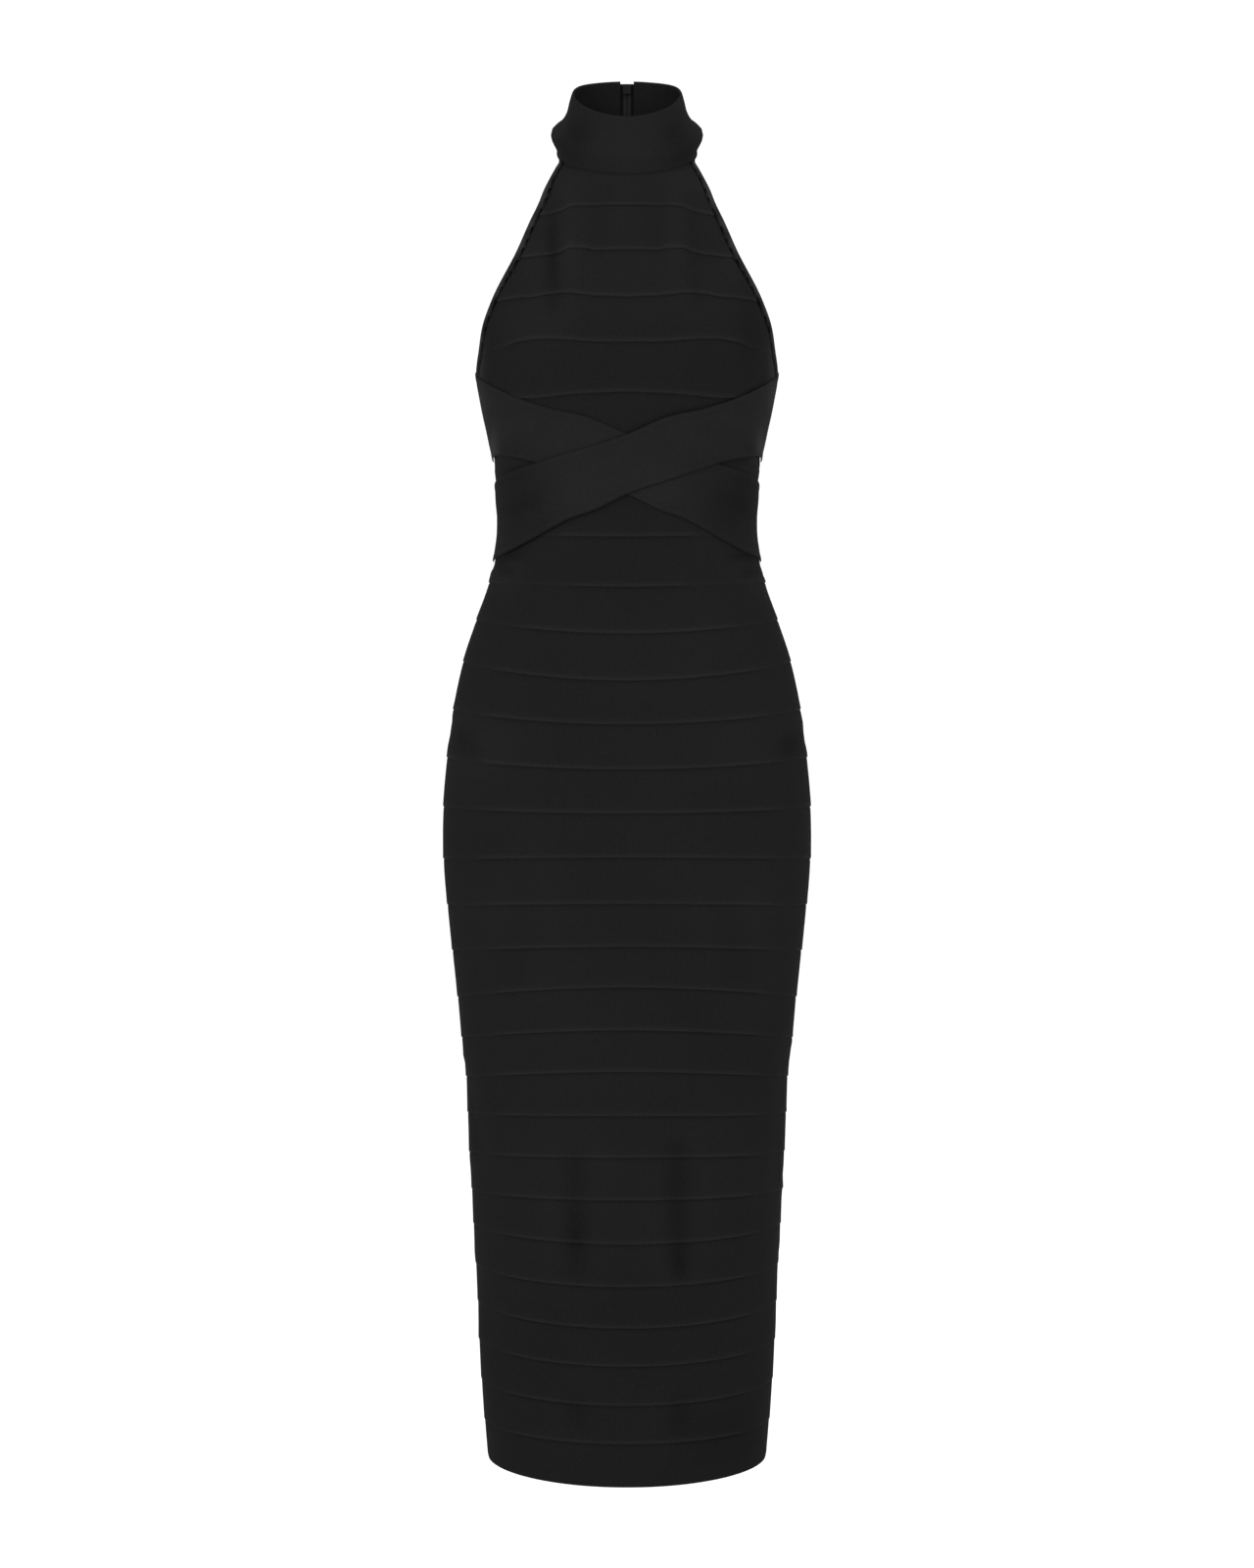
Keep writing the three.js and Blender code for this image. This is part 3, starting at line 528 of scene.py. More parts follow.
def knit_material(name, tone, wale, course, sheen):
    """Black knit with ribs of its own size, in metres."""
    material = bpy.data.materials.new(name)
    material.use_nodes = True
    tree = material.node_tree
    shader = tree.nodes["Principled BSDF"]
    knit = node_of(
        tree,
        "ShaderNodeGroup",
        {"Tone": tone, "Wale": wale, "Course": course},
        node_tree=fine_rib_knit,
    )
    bump = node_of(
        tree,
        "ShaderNodeBump",
        {"Strength": 0.5, "Distance": 0.00012, "Height": knit.outputs["Height"]},
    )
    tree.links.new(knit.outputs["Color"], shader.inputs["Base Color"])
    tree.links.new(knit.outputs["Roughness"], shader.inputs["Roughness"])
    tree.links.new(bump.outputs["Normal"], shader.inputs["Normal"])
    shader.inputs["Specular IOR Level"].default_value = 0.008
    shader.inputs["Sheen Weight"].default_value = sheen
    shader.inputs["Sheen Roughness"].default_value = 0.45
    return material


panel_knit = knit_material("black_bandage_knit", tone=0.0104, wale=0.0016, course=0.0011, sheen=0.0)


def panel(name, node, seams, first, last, edges_of, columns, creases, shades):
    """One knit panel, from one seam row to another and between its two edges."""
    row, lift, shade = strip_rows(seams, first, last)
    start, end = edges_of(row)
    turn = start[:, None] + (end - start)[:, None] * np.linspace(0, 1, columns + 1)
    down = np.broadcast_to(row[:, None], turn.shape)
    points = dress_point(down, turn)
    across = np.abs(points[..., 0])
    down = down - sway_of(down, across) / STRIP_HEIGHT
    points = dress_point(down, turn)
    # a seam is crisp in the middle, and sinks into the stretched cloth towards the sides; its painted
    # highlight and shadow fade with it
    crisp = np.interp(row, CRISP_ROWS, CRISP_SHARE)[:, None]
    share = across / body["half_width"](down)
    sunk = np.clip((share - crisp) / SINK_WIDTH, 0, 1)
    sunk *= np.clip((SEAM_RETURN - share) / SEAM_RETURN_WIDTH, 0, 1)
    crisp = 1 - SINK_DEPTH * (np.abs(turn) < 90) * eased(sunk)
    covered = under_crossed_bands(points, turn)
    lift = np.where(covered, 0, MEAN_LIFT + (lift[:, None] - MEAN_LIFT) * crisp)
    if last == HEM:
        lift[-len(HEM_LIFT) :] = np.array(HEM_LIFT)[:, None]
        shade[-len(HEM_SHADE) :] = HEM_SHADE
    # the seams pucker a little, by the run of the linking stitches
    ripple = np.sin(turn * 2.9 + down * 11.0) + 0.7 * np.sin(turn * 4.7 - down * 7.0)
    lift = lift + PUCKER * ripple * np.clip(lift, 0, 1)
    pressed = crease_depth(points, creases)
    # painted highlight and shadow at the seams, painted light and shade in soft places, painted shade in
    # creases
    shade = np.where(covered, 0, shade[:, None] * crisp) + shade_of(points, shades) - CREASE_SHADE * pressed
    edge = lengths_along(points, 1) * 1000
    edge = np.minimum(edge, edge[:, [-1]] - edge)
    turned_in = np.exp(-((edge / SEAM_TURN_IN_WIDTH) ** 2))
    lift = lift - SEAM_TURN_IN * turned_in
    shade = shade - SEAM_TURN_IN_SHADE * turned_in
    normal = outward(dress_point, down, turn)
    outer = points + normal * (lift - pressed)[..., None]
    inner = points - normal * (KNIT_WALL + pressed)[..., None]
    piece = shell_mesh(name, outer, inner, shade)
    piece.data.materials.append(panel_knit)
    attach(piece, "dress")
    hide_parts(node)


def reach_of(armhole, row):
    """How far round a panel reaches: to its armhole, or below that to the side seam."""
    return np.where(row < UNDERARM_ROW, np.minimum(armhole(row), SIDE_SEAM), SIDE_SEAM)


def front_edges(row):
    """The turns where the front ends at the wearer's right and left."""
    reach = reach_of(front_armhole, row)
    return -reach, reach


ZIP_HALF_OPENING = 6.45
ZIP_END_ROW = 11.8


def left_back_edges(row):
    """The turns of the left half of the back at its side and at the middle."""
    half_opening = np.where(row <= ZIP_END_ROW, ZIP_HALF_OPENING, 0)
    return 180 - reach_of(back_armhole, row), 180 - turn_at(half_opening, body["half_width"](row))


def right_back_edges(row):
    """The turns of the right half of the back at the middle and at its side."""
    start, end = left_back_edges(row)
    return -end, -start


# A crossed band's edges by turn, from the side where it starts high to the side where it ends low.
CROSS_COLUMNS = ("turn", "top", "bottom")
CROSS_BAND = [
    (-90, -228, -295),
    (-75, -231, -298),
    (-60, -240, -302.5),
    (-44, -253.4, -308.5),
    (-30, -263.5, -318),
    (-16, -271.2, -328.5),
    (0, -286.5, -340),
    (13.5, -296, -353.5),
    (25, -302.5, -361.5),
    (43.5, -311.5, -379),
    (57, -316, -388),
    (90, -324, -395),
]
# The pull of the side seam draws a band's high end up and down by these, close to the seam only.
BAND_END_RISE = 8
BAND_END_FALL = 8
BAND_END_BEND = 9  # power of the share of the way to the seam
cross_band_edge = curves_of(CROSS_COLUMNS, CROSS_BAND)


def under_crossed_bands(points, turn):
    """Where a panel is smooth because a crossed band lies on it."""
    hidden = np.zeros(turn.shape, bool)
    for along in (turn, -turn):
        hidden |= (points[..., 2] < cross_band_edge["top"](along) - 2) & (
            points[..., 2] > cross_band_edge["bottom"](along) + 2
        )
    return hidden & (np.abs(turn) <= 90)


panel("front_bodice_cloth", "front_bodice", FRONT_SEAM_ROWS, 0, WAIST, front_edges, FRONT_COLUMNS,
      FRONT_CREASES, FRONT_SHADES)
panel("front_skirt_cloth", "front_skirt", FRONT_SEAM_ROWS, WAIST, HEM, front_edges, FRONT_COLUMNS,
      FRONT_CREASES, FRONT_SHADES)
for side, edges in (("left", left_back_edges), ("right", right_back_edges)):
    panel(f"back_bodice_{side}_cloth", f"back_bodice_{side}", BACK_SEAM_ROWS, 0, WAIST, edges, BACK_COLUMNS,
          BACK_CREASES, BACK_SHADES)
    panel(f"back_skirt_{side}_cloth", f"back_skirt_{side}", BACK_SEAM_ROWS, WAIST, HEM, edges, BACK_COLUMNS,
          BACK_CREASES, BACK_SHADES)

# Two wide bands of smoother knit cross over the waist, each from high under one arm to low at the other side
# seam. They are caught in the side seams, and the one from the wearer's left lies on top.
CROSS_WALL = 1.6
CROSS_GAP = 0.5
CROSS_END_TURN = 0.1  # the gap that is left at a side seam, in degrees
# The upper band steps down from the lower one between these turns.
CROSSING_END = 48
CROSSING_CLEAR = 75
CROSS_FACE_COLUMNS = 156
CROSS_EDGE_FALL = 0.8  # share of the wall by which a folded edge falls
# painted shade along the band's folded edges, as far as they fall
CROSS_EDGE_SHADE = 0.25
# Across the band: share of its width, and how far the folded edges fall from the face.
CROSS_PROFILE = [
    (0.000, 1.00), (0.006, 0.55), (0.014, 0.22), (0.026, 0.05), (0.050, 0.00), (0.090, 0.10), (0.110, 0.16),
    (0.130, 0.06), (0.180, 0.00), (0.260, 0.00), (0.340, 0.00), (0.420, 0.00), (0.500, 0.00), (0.580, 0.00),
    (0.660, 0.00), (0.740, 0.00), (0.820, 0.00), (0.870, 0.06), (0.890, 0.16), (0.910, 0.10), (0.950, 0.00),
    (0.974, 0.05), (0.986, 0.22), (0.994, 0.55), (1.000, 1.00),
]
CROSS_CREASES = [
    (-118, -300, -70, -282, 0.5, 8),
    (116, -296, 72, -280, 0.6, 8),
    (-104, -262, -60, -268, 0.4, 9),
    (102, -258, 58, -264, 0.4, 9),
    (-112, -352, -80, -344, 0.4, 6),
    (112, -350, 82, -342, 0.4, 6),
]
# Painted light and shade of the crossed bands: soft lighter and darker places, as across, height, half width,
# half height, amount.
# The narrow bright ones near the side seams are painted highlights; the broad dark ones at the bands' low
# ends are painted shade.
CROSS_SHADES = [
    (-95, -350, 34, 42, -0.34),
    (-104, -316, 18, 14, -0.12),
    (94, -352, 34, 42, -0.34),
    (106, -326, 16, 18, -0.12),
    (-40, -340, 22, 22, 0.06),
    (28, -330, 22, 16, 0.08),
    (-132, -256, 6, 24, 0.55),
    (132, -254, 6, 24, 0.60),
    (-120, -294, 5, 15, 1.0),
    (120, -292, 5, 15, 0.9),
    (0, -262, 90, 12, -0.05),
]
cross_knit = knit_material("black_smooth_knit", tone=0.0137, wale=0.0013, course=0.0009, sheen=0.0)


HALVINGS = 30


def row_at(height, turn):
    """The seam row that passes through a height."""
    above = np.zeros(height.shape)
    below = np.full(height.shape, float(HEM))
    for _ in range(HALVINGS):
        middle = (above + below) / 2
        higher = dress_point(middle, turn)[..., 2] > height
        above = np.where(higher, middle, above)
        below = np.where(higher, below, middle)
    return above


def cross_band(name, node, high_side, over):
    """One crossed band. Its high side is 1 for the wearer's left, and the one that is over lies on top."""
    reach = SIDE_SEAM - CROSS_END_TURN
    share, fall = np.array(CROSS_PROFILE).T
    turn = np.tile(np.linspace(-reach, reach, CROSS_FACE_COLUMNS + 1), (len(share), 1))
    along = -high_side * turn
    top, bottom = cross_band_edge["top"](along), cross_band_edge["bottom"](along)
    pull = np.clip(-along / 90, 0, 1) ** BAND_END_BEND
    top = top + BAND_END_RISE * pull
    bottom = bottom - BAND_END_FALL * pull
    height = top + (bottom - top) * share[:, None]
    down = row_at(height, turn)
    settled = eased(np.clip((np.abs(turn) - CROSSING_END) / (CROSSING_CLEAR - CROSSING_END), 0, 1))
    rise = (CROSS_WALL + CROSS_GAP) * (1 - settled) if over else 0
    base = CROSS_GAP + rise
    lift = base + CROSS_WALL - CROSS_WALL * CROSS_EDGE_FALL * fall[:, None]
    normal = outward(dress_point, down, turn)
    points = dress_point(down, turn)
    points = points - normal * crease_depth(points, CROSS_CREASES)[..., None]
    outer = points + normal * np.broadcast_to(lift, turn.shape)[..., None]
    inner = points + normal * np.broadcast_to(base, turn.shape)[..., None]
    # painted light and shade, with painted shade in creases and along the folded edges
    shade = shade_of(points, CROSS_SHADES) - CREASE_SHADE * crease_depth(points, CROSS_CREASES)
    shade = shade - CROSS_EDGE_SHADE * fall[:, None]
    piece = shell_mesh(name, outer, inner, shade)
    piece.data.materials.append(cross_knit)
    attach(piece, "dress")
    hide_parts(node)


cross_band("cross_band_under_cloth", "cross_band_under", -1, False)
cross_band("cross_band_over_cloth", "cross_band_over", 1, True)

# Each armhole is finished with a strip of the same knit, folded over the cut edge and stitched down. It runs
# from the collar seam, under the arm and up to the collar seam again, and its edge looks a little ragged.
BINDING_ROWS = 110  # stations down the front edge, and as many up the back
BINDING_STITCH = 2.2  # length of a stitch along the strip
BINDING_RUN = 12  # the cut edge frays in runs of about this length
STITCH_BITE = 0.3
FRAY = 2.2
UNDERARM_CROWDING = 1.6  # the stations crowd towards the underarm by this power
# The painted shadow along the inner edge fades over this height down to the underarm, to this share.
EDGE_FADE_END = -215
EDGE_FADE_HEIGHT = 30
EDGE_FADE_SHARE = 0.3
# The fold as a section: out from the panel's cut edge, up from its face, share of the ragged edge, and
# painted shade: painted shadow at its edges, a painted highlight on the fold.
BINDING_SECTION = [
    (-1.4, 0.30, 1.0, -0.95), (0.3, 0.85, 0.9, -0.90), (1.0, 1.15, 0.5, 0.30), (1.8, 1.00, 0.2, 0.50),
    (2.6, 1.15, 0.0, 0.85), (3.6, 1.25, 0.0, 0.80), (5.2, 1.05, 0.0, 0.70), (6.2, 0.45, 0.0, 0.30),
    (6.75, -0.45, 0.0, -0.45), (6.75, -1.5, 0.0, -0.50), (6.2, -2.3, 0.0, 0.0), (5.2, -2.75, 0.0, 0.0),
    (3.0, -2.8, 0.0, 0.0), (0.3, -2.7, 0.0, 0.0), (0.1, -1.2, 0.0, 0.0),
]


def ring_mesh(name, sections, shade):
    """A closed bar of cloth through like rings of points, with its knit laid out along it."""
    stations, count = sections.shape[:2]
    number = np.arange(stations * count).reshape(stations, count)
    following = np.roll(number, -1, axis=1)
    faces = np.stack((number[:-1], number[1:], following[1:], following[:-1]), axis=-1).reshape(-1, 4)
    ends = [number[0].tolist(), number[-1, ::-1].tolist()]
    flat = np.stack((lengths_along(sections, 1), lengths_along(sections, 0)), axis=-1).reshape(-1, 2)
    return cloth_piece(name, sections.reshape(-1, 3), faces.tolist() + ends, flat, shade.ravel())


def armhole_line(side):
    """Points along one armhole's cut edge with the directions up from the cloth and out over the edge."""
    share = np.linspace(0, 1, BINDING_ROWS)
    going_down = UNDERARM_ROW * (1 - (1 - share) ** UNDERARM_CROWDING)
    going_up = UNDERARM_ROW * (1 - share[1:] ** UNDERARM_CROWDING)
    row = np.concatenate((going_down, going_up))
    in_front = np.arange(len(row)) < BINDING_ROWS
    turn = np.where(in_front, reach_of(front_armhole, row - 1e-6), 180 - reach_of(back_armhole, row - 1e-6))
    turn = np.where(row >= UNDERARM_ROW - 1e-6, 90.0, turn)
    line = dress_point(row, turn)
    up = outward(dress_point, row, turn)
    along = np.gradient(line, axis=0)
    along = sum(np.roll(along, k, axis=0) for k in (-1, 0, 1))
    along[0], along[-1] = line[1] - line[0], line[-1] - line[-2]
    out = np.cross(up, along)
    beside = dress_point(row, turn + np.where(in_front, 1, -1)) - line
    out[0], out[-1] = beside[0], beside[-1]
    out /= np.linalg.norm(out, axis=-1, keepdims=True)
    mirror = np.array([side, 1, 1])
    return line * mirror, up * mirror, out * mirror


for side, sign in (("left", 1), ("right", -1)):
    line, up, out = armhole_line(sign)
    length = lengths_along(line, 0) * 1000
    stitches = np.abs(np.sin(np.pi * length / BINDING_STITCH))
    run = (length / BINDING_RUN + 0.4 * np.sin(length / 19) + 0.2 * np.sin(length / 7)) % 1
    ragged = STITCH_BITE * stitches + FRAY * run
    # the fold carries an uneven painted highlight, and the painted shadow along its inner edge fades towards
    # the underarm
    fold_highlight = 1.15 + 0.75 * np.sin(length / 5.1 + 1.5 * np.sin(length / 13))
    shadow_fade = np.clip((line[:, 2] - EDGE_FADE_END) / EDGE_FADE_HEIGHT, EDGE_FADE_SHARE, 1)
    edge_shadow = np.clip(1.15 - run, 0, 1) * shadow_fade
    sections, shades = [], []
    for across, height, frayed, shade in BINDING_SECTION:
        sections.append(line + out * (across - ragged * frayed)[:, None] + up * height)
        shades.append(shade * (fold_highlight if shade > 0 else edge_shadow))
    sections, shades = np.stack(sections, axis=1), np.stack(shades, axis=1)
    if sign > 0:
        sections, shades = sections[:, ::-1], shades[:, ::-1]
    binding = ring_mesh(f"armhole_binding_{side}_cloth", sections, shades)
    binding.data.materials.append(panel_knit)
    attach(binding, "dress")
    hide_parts(f"armhole_binding_{side}")

# The collar is one doubled strip of knit, folded at its top edge and linked to the bodice, open at the zip.
COLLAR_WALL = 2.6
COLLAR_TOP = {"front": 3.6, "side": 37, "back": 60}
COLLAR_LIFT = -0.5  # its lower edge is linked over the panels' top edges
COLLAR_COLUMNS = ("down", "half_width", "front_depth", "back_depth")
COLLAR = [
    (0, 50, 56, 63),
    (0.2, 53.4, 57.5, 63.3),
    (0.38, 56.4, 59.5, 63.8),
    (0.5, 60.6, 61.5, 64.4),
    (0.6, 68.3, 63.3, 65.1),
    (0.69, 69.9, 64.8, 65.9),
    (0.8, 67.3, 66.2, 66.8),
    (0.92, 64, 67.4, 67.6),
    (1, 64.5, 68, 68),
]
COLLAR_FACE_COLUMNS = 200
COLLAR_EDGE_THINNING = 0.85
# painted shade where the wall draws in, at the fold and at the seam
COLLAR_EDGE_SHADE = 0.12
# From the fold down to the seam: share of the height, and how far the wall draws in from each face.
COLLAR_PROFILE = [
    (0.000, 1.00), (0.006, 0.62), (0.016, 0.30), (0.030, 0.10), (0.055, 0.00), (0.100, 0.00), (0.150, 0.00),
    (0.200, 0.00), (0.260, 0.00), (0.320, 0.00), (0.380, 0.00), (0.440, 0.00), (0.500, 0.00), (0.560, 0.00),
    (0.620, 0.00), (0.680, 0.00), (0.740, 0.00), (0.800, 0.00), (0.860, 0.00), (0.910, -0.10), (0.950, -0.25),
    (0.975, -0.20), (0.990, 0.15), (1.000, 0.60),
]
COLLAR_CREASES = [
    (-62, -2, -40, -20, 0.5, 7),
    (62, -1, 42, -19, 0.5, 7),
    (-20, -14, 14, -16, 0.25, 6),
    (-50, 20, -44, -4, 0.4, 6),
    (50, 22, 45, -2, 0.4, 6),
]
# Painted light and shade of the collar: soft lighter and darker places, as across, height, half width, half
# height and amount.
COLLAR_SHADES = [
    (-4, -8, 30, 24, 0.14),
    (-46, -12, 15, 18, -0.27),
    (46, -14, 16, 20, -0.25),
    (-62, 4, 7, 10, 0.14),
    (60, 24, 6, 12, 0.10),
    (0, -30, 40, 6, 0.05),
]
collar_curve = curves_of(COLLAR_COLUMNS, COLLAR)


def collar_point(down, turn):
    """The outer face of the collar, by the share of its height and the turn."""
    seam = dict(zip(SEAM_COLUMNS, SEAMS[0]))
    section = {name: curve(down) for name, curve in collar_curve.items()}
    for name, top in COLLAR_TOP.items():
        section[name] = top + (seam[name] + COLLAR_LIFT - top) * down
    return section_point(section, turn)


share, drawn_in = np.array(COLLAR_PROFILE).T
end = 180 - turn_at(ZIP_HALF_OPENING, collar_curve["half_width"](share))
turn = -end[:, None] + 2 * end[:, None] * np.linspace(0, 1, COLLAR_FACE_COLUMNS + 1)
down = np.broadcast_to(share[:, None], turn.shape)
points = collar_point(down, turn)
normal = outward(collar_point, np.clip(down, SURFACE_STEP, 1 - SURFACE_STEP), turn)
pushed = -crease_depth(points, COLLAR_CREASES)[..., None]
thinning = 1 - COLLAR_EDGE_THINNING * drawn_in
half_wall = COLLAR_WALL / 2 * np.broadcast_to(thinning[:, None], turn.shape)[..., None]
middle = points + normal * (pushed - COLLAR_WALL / 2)
# painted light and shade on the front of the collar, and painted shade at its fold and seam
shade = np.where(np.abs(turn) < 90, shade_of(points, COLLAR_SHADES), 0)
shade = shade - COLLAR_EDGE_SHADE * np.clip(drawn_in, 0, 1)[:, None]
collar_cloth = shell_mesh("collar_cloth", middle + normal * half_wall, middle - normal * half_wall, shade)
collar_cloth.data.materials.append(panel_knit)
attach(collar_cloth, "dress")
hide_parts("collar")

# The zip down the middle of the back is a black nylon coil on two woven polyester tapes, sewn in under the
# back panels' edges. It is closed, and its top end is just below the collar's edge.
ZIP_TOP_HEIGHT = 57.6
ZIP_START = (COLLAR_TOP["back"] - ZIP_TOP_HEIGHT) / (COLLAR_TOP["back"] - SEAMS[0][2])
ZIP_STATIONS = 330
COLLAR_STATIONS = 40  # of them on the collar
COLLAR_LAST_SHARE = 0.985  # they stop just above the collar's seam
BACK_FIRST_ROW = 0.03  # and go on just below it
TAPE_END_ROW = ZIP_END_ROW + 0.14  # behind the closed seam
# Across a tape from the middle: distance, and the painted light and shade on its inner side there: a painted
# highlight near the middle, painted shadow towards the edge.
TAPE_ACROSS = (0.12, 0.5, 1.2, 2.0, 2.8, 3.4, 3.8, 4.6, 5.6, 6.44)
TAPE_SHADE = (-0.3, 0.9, 1.3, 1.3, 1.1, 0.7, -0.3, -0.35, -0.3, -0.3)
TAPE_FACE = -0.4
TAPE_WALL = 0.9
COIL_START = 3.6  # below the tapes' top ends
COIL_END_ROW = ZIP_END_ROW - 0.05
COIL_PITCH = 1.5
COIL_RADIUS = 0.36
COIL_REACH = (0.2, 3.0)  # a loop runs from beside the middle out to the tape
COIL_FACES = (0.55, -0.25)  # heights of a loop's outer and inner run from the cloth's face


def zip_lines(across, height, end_row):
    """Points down the middle of the back at distances from the middle and heights from the cloth's face."""
    share = np.linspace(ZIP_START, COLLAR_LAST_SHARE, COLLAR_STATIONS)
    row = np.linspace(BACK_FIRST_ROW, end_row, ZIP_STATIONS - COLLAR_STATIONS)
    lines = []
    for out, up in zip(across, height):
        above = 180 - turn_at(np.maximum(out, 0.01), collar_curve["half_width"](share))
        below = 180 - turn_at(np.maximum(out, 0.01), body["half_width"](row))
        on_collar = collar_point(share, above) + outward(collar_point, share, above) * up
        on_back = dress_point(row, below) + outward(dress_point, row, below) * up
        lines.append(np.concatenate((on_collar, on_back)))
    return np.stack(lines, axis=1)


def woven_group():
    """Fine herringbone-like weave of a zip tape, from its UV map in metres, with painted light and shade from
    the shade attribute.
    """
    group, given, made = shader_group(
        "woven_tape",
        {"Tone": NUMBER, "Thread": NUMBER},
        {"Color": COLOR, "Height": NUMBER},
    )
    flat = node_of(group, "ShaderNodeUVMap", uv_map="knit").outputs[0]
    split = node_of(group, "ShaderNodeSeparateXYZ", {0: flat}).outputs
    across = math_of(group, "MULTIPLY", math_of(group, "DIVIDE", split["X"], given["Thread"]), 2 * math.pi)
    along = math_of(group, "MULTIPLY", math_of(group, "DIVIDE", split["Y"], given["Thread"]), 2 * math.pi)
    warp = math_of(group, "SINE", math_of(group, "ADD", across, along), 0.0)
    weft = math_of(group, "SINE", math_of(group, "SUBTRACT", along, across), 0.0)
    weave = math_of(group, "MULTIPLY", warp, weft)
    shade = math_of(group, "ADD", 1.0, math_of(group, "MULTIPLY", weave, 0.35))
    # painted light and shade, from the mesh's shade attribute
    painted_light_and_shade = node_of(group, "ShaderNodeAttribute", attribute_name="shade").outputs["Fac"]
    tone = math_of(group, "MULTIPLY", given["Tone"], math_of(group, "ADD", shade, painted_light_and_shade))
    color = node_of(group, "ShaderNodeCombineColor", {0: tone, 1: tone, 2: tone}).outputs[0]
    group.links.new(color, made["Color"])
    group.links.new(weave, made["Height"])
    return group


tape_weave = bpy.data.materials.new("black_woven_tape")
tape_weave.use_nodes = True
tree = tape_weave.node_tree
weave = node_of(tree, "ShaderNodeGroup", {"Tone": 0.0085, "Thread": 0.0009}, node_tree=woven_group())
bump = node_of(
    tree,
    "ShaderNodeBump",
    {"Strength": 0.6, "Distance": 0.00012, "Height": weave.outputs["Height"]},
)
tape_shader = tree.nodes["Principled BSDF"]
tree.links.new(weave.outputs["Color"], tape_shader.inputs["Base Color"])
tree.links.new(bump.outputs["Normal"], tape_shader.inputs["Normal"])
tape_shader.inputs["Roughness"].default_value = 0.75
tape_shader.inputs["Specular IOR Level"].default_value = 0.03


def speckled_black(name, scale, detail, gloss, dark, light, specular):
    """A hard black finish whose tone and gloss vary in fine specks, and the specks."""
    material = bpy.data.materials.new(name)
    material.use_nodes = True
    tree = material.node_tree
    shader = tree.nodes["Principled BSDF"]
    place = node_of(tree, "ShaderNodeTexCoord").outputs["Object"]
    fine = {"Vector": place, "Scale": scale, "Detail": detail}
    specks = node_of(tree, "ShaderNodeTexNoise", fine).outputs[0]
    spread = {0: specks, 1: 0.3, 2: 0.7, 3: gloss[0], 4: gloss[1]}
    rough = node_of(tree, "ShaderNodeMapRange", spread).outputs[0]
    tone = node_of(tree, "ShaderNodeMix", {0: specks, 6: dark, 7: light}, data_type="RGBA").outputs[2]
    tree.links.new(rough, shader.inputs["Roughness"])
    tree.links.new(tone, shader.inputs["Base Color"])
    shader.inputs["Specular IOR Level"].default_value = specular
    return material, specks


nylon, _ = speckled_black(
    "black_nylon_coil",
    scale=900.0,
    detail=2.0,
    gloss=(0.32, 0.5),
    dark=(0.006, 0.006, 0.006, 1),
    light=(0.014, 0.014, 0.014, 1),
    specular=0.12,
)

COIL_LOCK = 0.2  # share of their reach by which the two sides' loops lock over the middle
COIL_BEND = 0.12  # share of its reach that a loop's bend takes
COIL_SIDES = 6


def line_curve(travelled, line):
    """A line of points as a function of the way along it."""
    curves = [smooth_curve(travelled, line[:, k]) for k in range(3)]
    return lambda where: np.array([curve(where) for curve in curves])


def coil_loop(near, far, rise, step):
    """The points of one loop, in rings: from the tape round its bend over the middle and back."""
    near = near - (far - near) * COIL_LOCK
    bend = near + (far - near) * COIL_BEND
    top, bottom = COIL_FACES
    tip = near + rise * (top * 0.55 + bottom * 0.45)
    path = [far + rise * top, bend + rise * top, tip, bend + rise * bottom, far + rise * bottom]
    inside = (path[0] + path[-1]) / 2 + (near - far) * 0.2
    points = []
    for knot in path:
        side_way = np.cross(step, knot - inside)
        side_way /= np.linalg.norm(side_way)
        other = np.cross(side_way, step)
        for angle in np.radians(np.arange(0, 360, 360 / COIL_SIDES)):
            points.append(knot + COIL_RADIUS * (math.cos(angle) * step * 1.1 + math.sin(angle) * other))
    return points


def loop_faces(first, count):
    """The faces of one loop of the coil, closed at both ends."""
    faces = []
    for start in range(first, first + count - COIL_SIDES, COIL_SIDES):
        for k in range(COIL_SIDES):
            a, b = start + k, start + (k + 1) % COIL_SIDES
            faces.append((a, b, b + COIL_SIDES, a + COIL_SIDES))
    faces.append(tuple(range(first + COIL_SIDES - 1, first - 1, -1)))
    faces.append(tuple(range(first + count - COIL_SIDES, first + count)))
    return faces


def coil_of(name, mirror, first_loop):
    """One side of the coil: one small flat loop after another, each a bent bar."""
    lines = zip_lines(COIL_REACH, (0.0, 0.0), COIL_END_ROW) * mirror
    ups = zip_lines(COIL_REACH, (1.0, 1.0), COIL_END_ROW) * mirror - lines
    travelled = lengths_along(lines, 0)[:, 0] * 1000
    near_at = line_curve(travelled, lines[:, 0])
    far_at = line_curve(travelled, lines[:, 1])
    rise_at = line_curve(travelled, ups[:, 0])
    points, faces = [], []
    for where in np.arange(first_loop, travelled[-1] - COIL_PITCH, COIL_PITCH):
        near = near_at(where)
        step = near_at(where + 0.1) - near
        loop = coil_loop(near, far_at(where), rise_at(where), step / np.linalg.norm(step))
        faces += loop_faces(len(points), len(loop))
        points += loop
    mesh = bpy.data.meshes.new(name)
    mesh.from_pydata((np.array(points) / 1000).tolist(), [], faces)
    mesh.shade_smooth()
    coil = bpy.data.objects.new(name, mesh)
    bpy.context.scene.collection.objects.link(coil)
    return coil


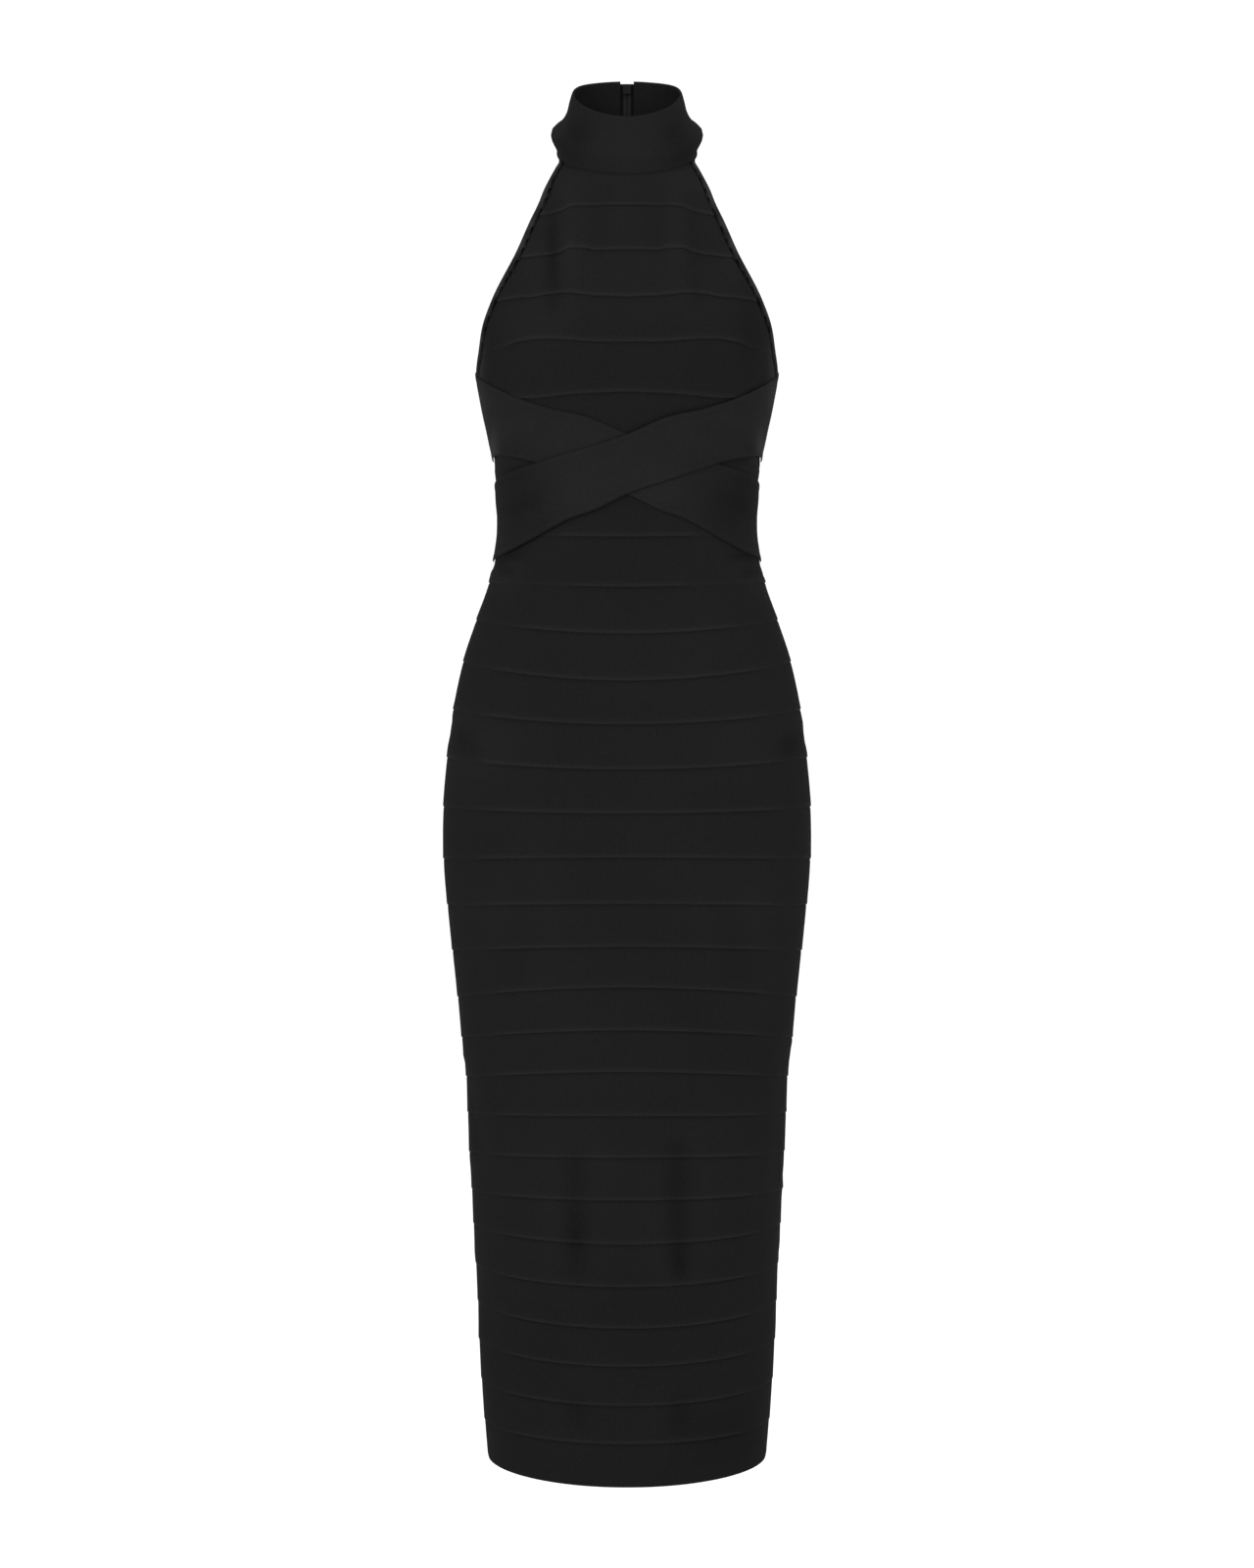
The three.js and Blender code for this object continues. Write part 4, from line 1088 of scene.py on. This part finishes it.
for side, sign, phase in (("left", 1, 0.25), ("right", -1, 0.75)):
    mirror = np.array([sign, 1, 1])
    order = slice(None, None, -sign)
    face = zip_lines(TAPE_ACROSS, [TAPE_FACE] * len(TAPE_ACROSS), TAPE_END_ROW)[:, order] * mirror
    back = zip_lines(TAPE_ACROSS, [TAPE_FACE - TAPE_WALL] * len(TAPE_ACROSS), TAPE_END_ROW)[:, order] * mirror
    # painted highlight and shadow on the tape's inner side
    inner_light_and_shade = np.broadcast_to(np.array(TAPE_SHADE)[order], face.shape[:2])
    tape = shell_mesh(f"zip_tape_{side}", face, back, np.zeros(face.shape[:2]), inner_light_and_shade)
    tape.data.materials.append(tape_weave)
    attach(tape, "dress")
    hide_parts(f"zip_{side}")

    coil = coil_of(f"zip_coil_{side}", mirror, COIL_START + phase * COIL_PITCH)
    coil.data.materials.append(nylon)
    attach(coil, "dress")

# The slider and its hanging pull tab are die-cast zinc with a black enamel that is rubbed at the edges. The
# stop that is clamped over the coil's lower end has the same finish.
enamel, specks = speckled_black(
    "black_enamel",
    scale=700.0,
    detail=4.0,
    gloss=(0.34, 0.5),
    dark=(0.005, 0.005, 0.0055, 1),
    light=(0.012, 0.012, 0.0125, 1),
    specular=0.06,
)
tree = enamel.node_tree
bump = node_of(tree, "ShaderNodeBump", {"Strength": 0.15, "Distance": 0.00005, "Height": specks})
tree.links.new(bump.outputs["Normal"], tree.nodes["Principled BSDF"].inputs["Normal"])
for name in ("zip_slider", "zip_pull_tab"):
    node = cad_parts[name]
    node.data.materials.clear()
    node.data.materials.append(enamel)

STOP_SIZE = (7.4, 2.2, 3.0)  # mm across, deep and high
STOP_EDGE = 0.5
STOP_ROW = ZIP_END_ROW - 0.035
STOP_RISE = 0.35
place = dress_point(np.array(STOP_ROW), np.array(180.0)) / 1000
bpy.ops.object.select_all(action="DESELECT")
bpy.ops.mesh.primitive_cube_add(size=0.001, location=(place[0], place[1] + STOP_RISE / 1000, place[2]))
zip_stop = bpy.context.object
zip_stop.name = "zip_bottom_stop"
zip_stop.scale = STOP_SIZE
bpy.ops.object.transform_apply(location=True, rotation=True, scale=True)
bpy.ops.object.modifier_add(type="BEVEL")
zip_stop.modifiers["Bevel"].width = STOP_EDGE / 1000
zip_stop.modifiers["Bevel"].segments = 3
bpy.ops.object.modifier_apply(modifier="Bevel")
bpy.ops.object.shade_smooth_by_angle(angle=math.radians(40))
zip_stop.data.materials.append(enamel)
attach(zip_stop, "dress")

# The studio: a pale seamless floor well below the hem, a white surround and two large soft lights.
FLOOR_HEIGHT = -1.47
CAMERA_PLACE = (0.0, -3.0, -0.5985)
bpy.ops.mesh.primitive_plane_add(size=30, location=(0, 0, FLOOR_HEIGHT))
floor = bpy.context.object
floor.name = "studio_floor"
paper = bpy.data.materials.new("white_paper")
paper.use_nodes = True
paper_shader = paper.node_tree.nodes["Principled BSDF"]
grain = node_of(paper.node_tree, "ShaderNodeTexNoise", {"Scale": 4.0, "Detail": 6.0}).outputs[0]
paper_tone = node_of(
    paper.node_tree,
    "ShaderNodeMix",
    {0: grain, 6: (0.955, 0.955, 0.955, 1), 7: (0.975, 0.975, 0.975, 1)},
    data_type="RGBA",
).outputs[2]
paper.node_tree.links.new(paper_tone, paper_shader.inputs["Base Color"])
paper_shader.inputs["Roughness"].default_value = 0.9
floor.data.materials.append(paper)

scene = bpy.context.scene
scene.world = bpy.data.worlds.new("white_surround")
scene.world.use_nodes = True
scene.world.node_tree.nodes["Background"].inputs["Color"].default_value = (1, 1, 1, 1)
scene.world.node_tree.nodes["Background"].inputs["Strength"].default_value = 1.06
scene.view_settings.view_transform = "Standard"


def soft_light(name, place, aim, size, power):
    """A large rectangular light, turned to its aim."""
    light = bpy.data.lights.new(name, "AREA")
    light.shape = "RECTANGLE"
    light.size, light.size_y = size
    light.energy = power
    lamp = bpy.data.objects.new(name, light)
    lamp.location = place
    way = [a - b for a, b in zip(aim, place)]
    lamp.rotation_euler = mathutils.Vector(way).to_track_quat("-Z", "Y").to_euler()
    scene.collection.objects.link(lamp)


soft_light("key_light", (-2.2, -3.4, 1.9), (0, 0, -0.5), (1.6, 2.2), 45)
soft_light("top_light", (1.4, -0.6, 3.2), (0, 0, -0.4), (2.4, 2.0), 45)

camera_data = bpy.data.cameras.new("camera")
camera_data.lens = 75
camera_data.sensor_width = 36
camera = bpy.data.objects.new("camera", camera_data)
camera.location = CAMERA_PLACE
camera.rotation_euler = (math.radians(90), 0, 0)
scene.collection.objects.link(camera)
scene.camera = camera
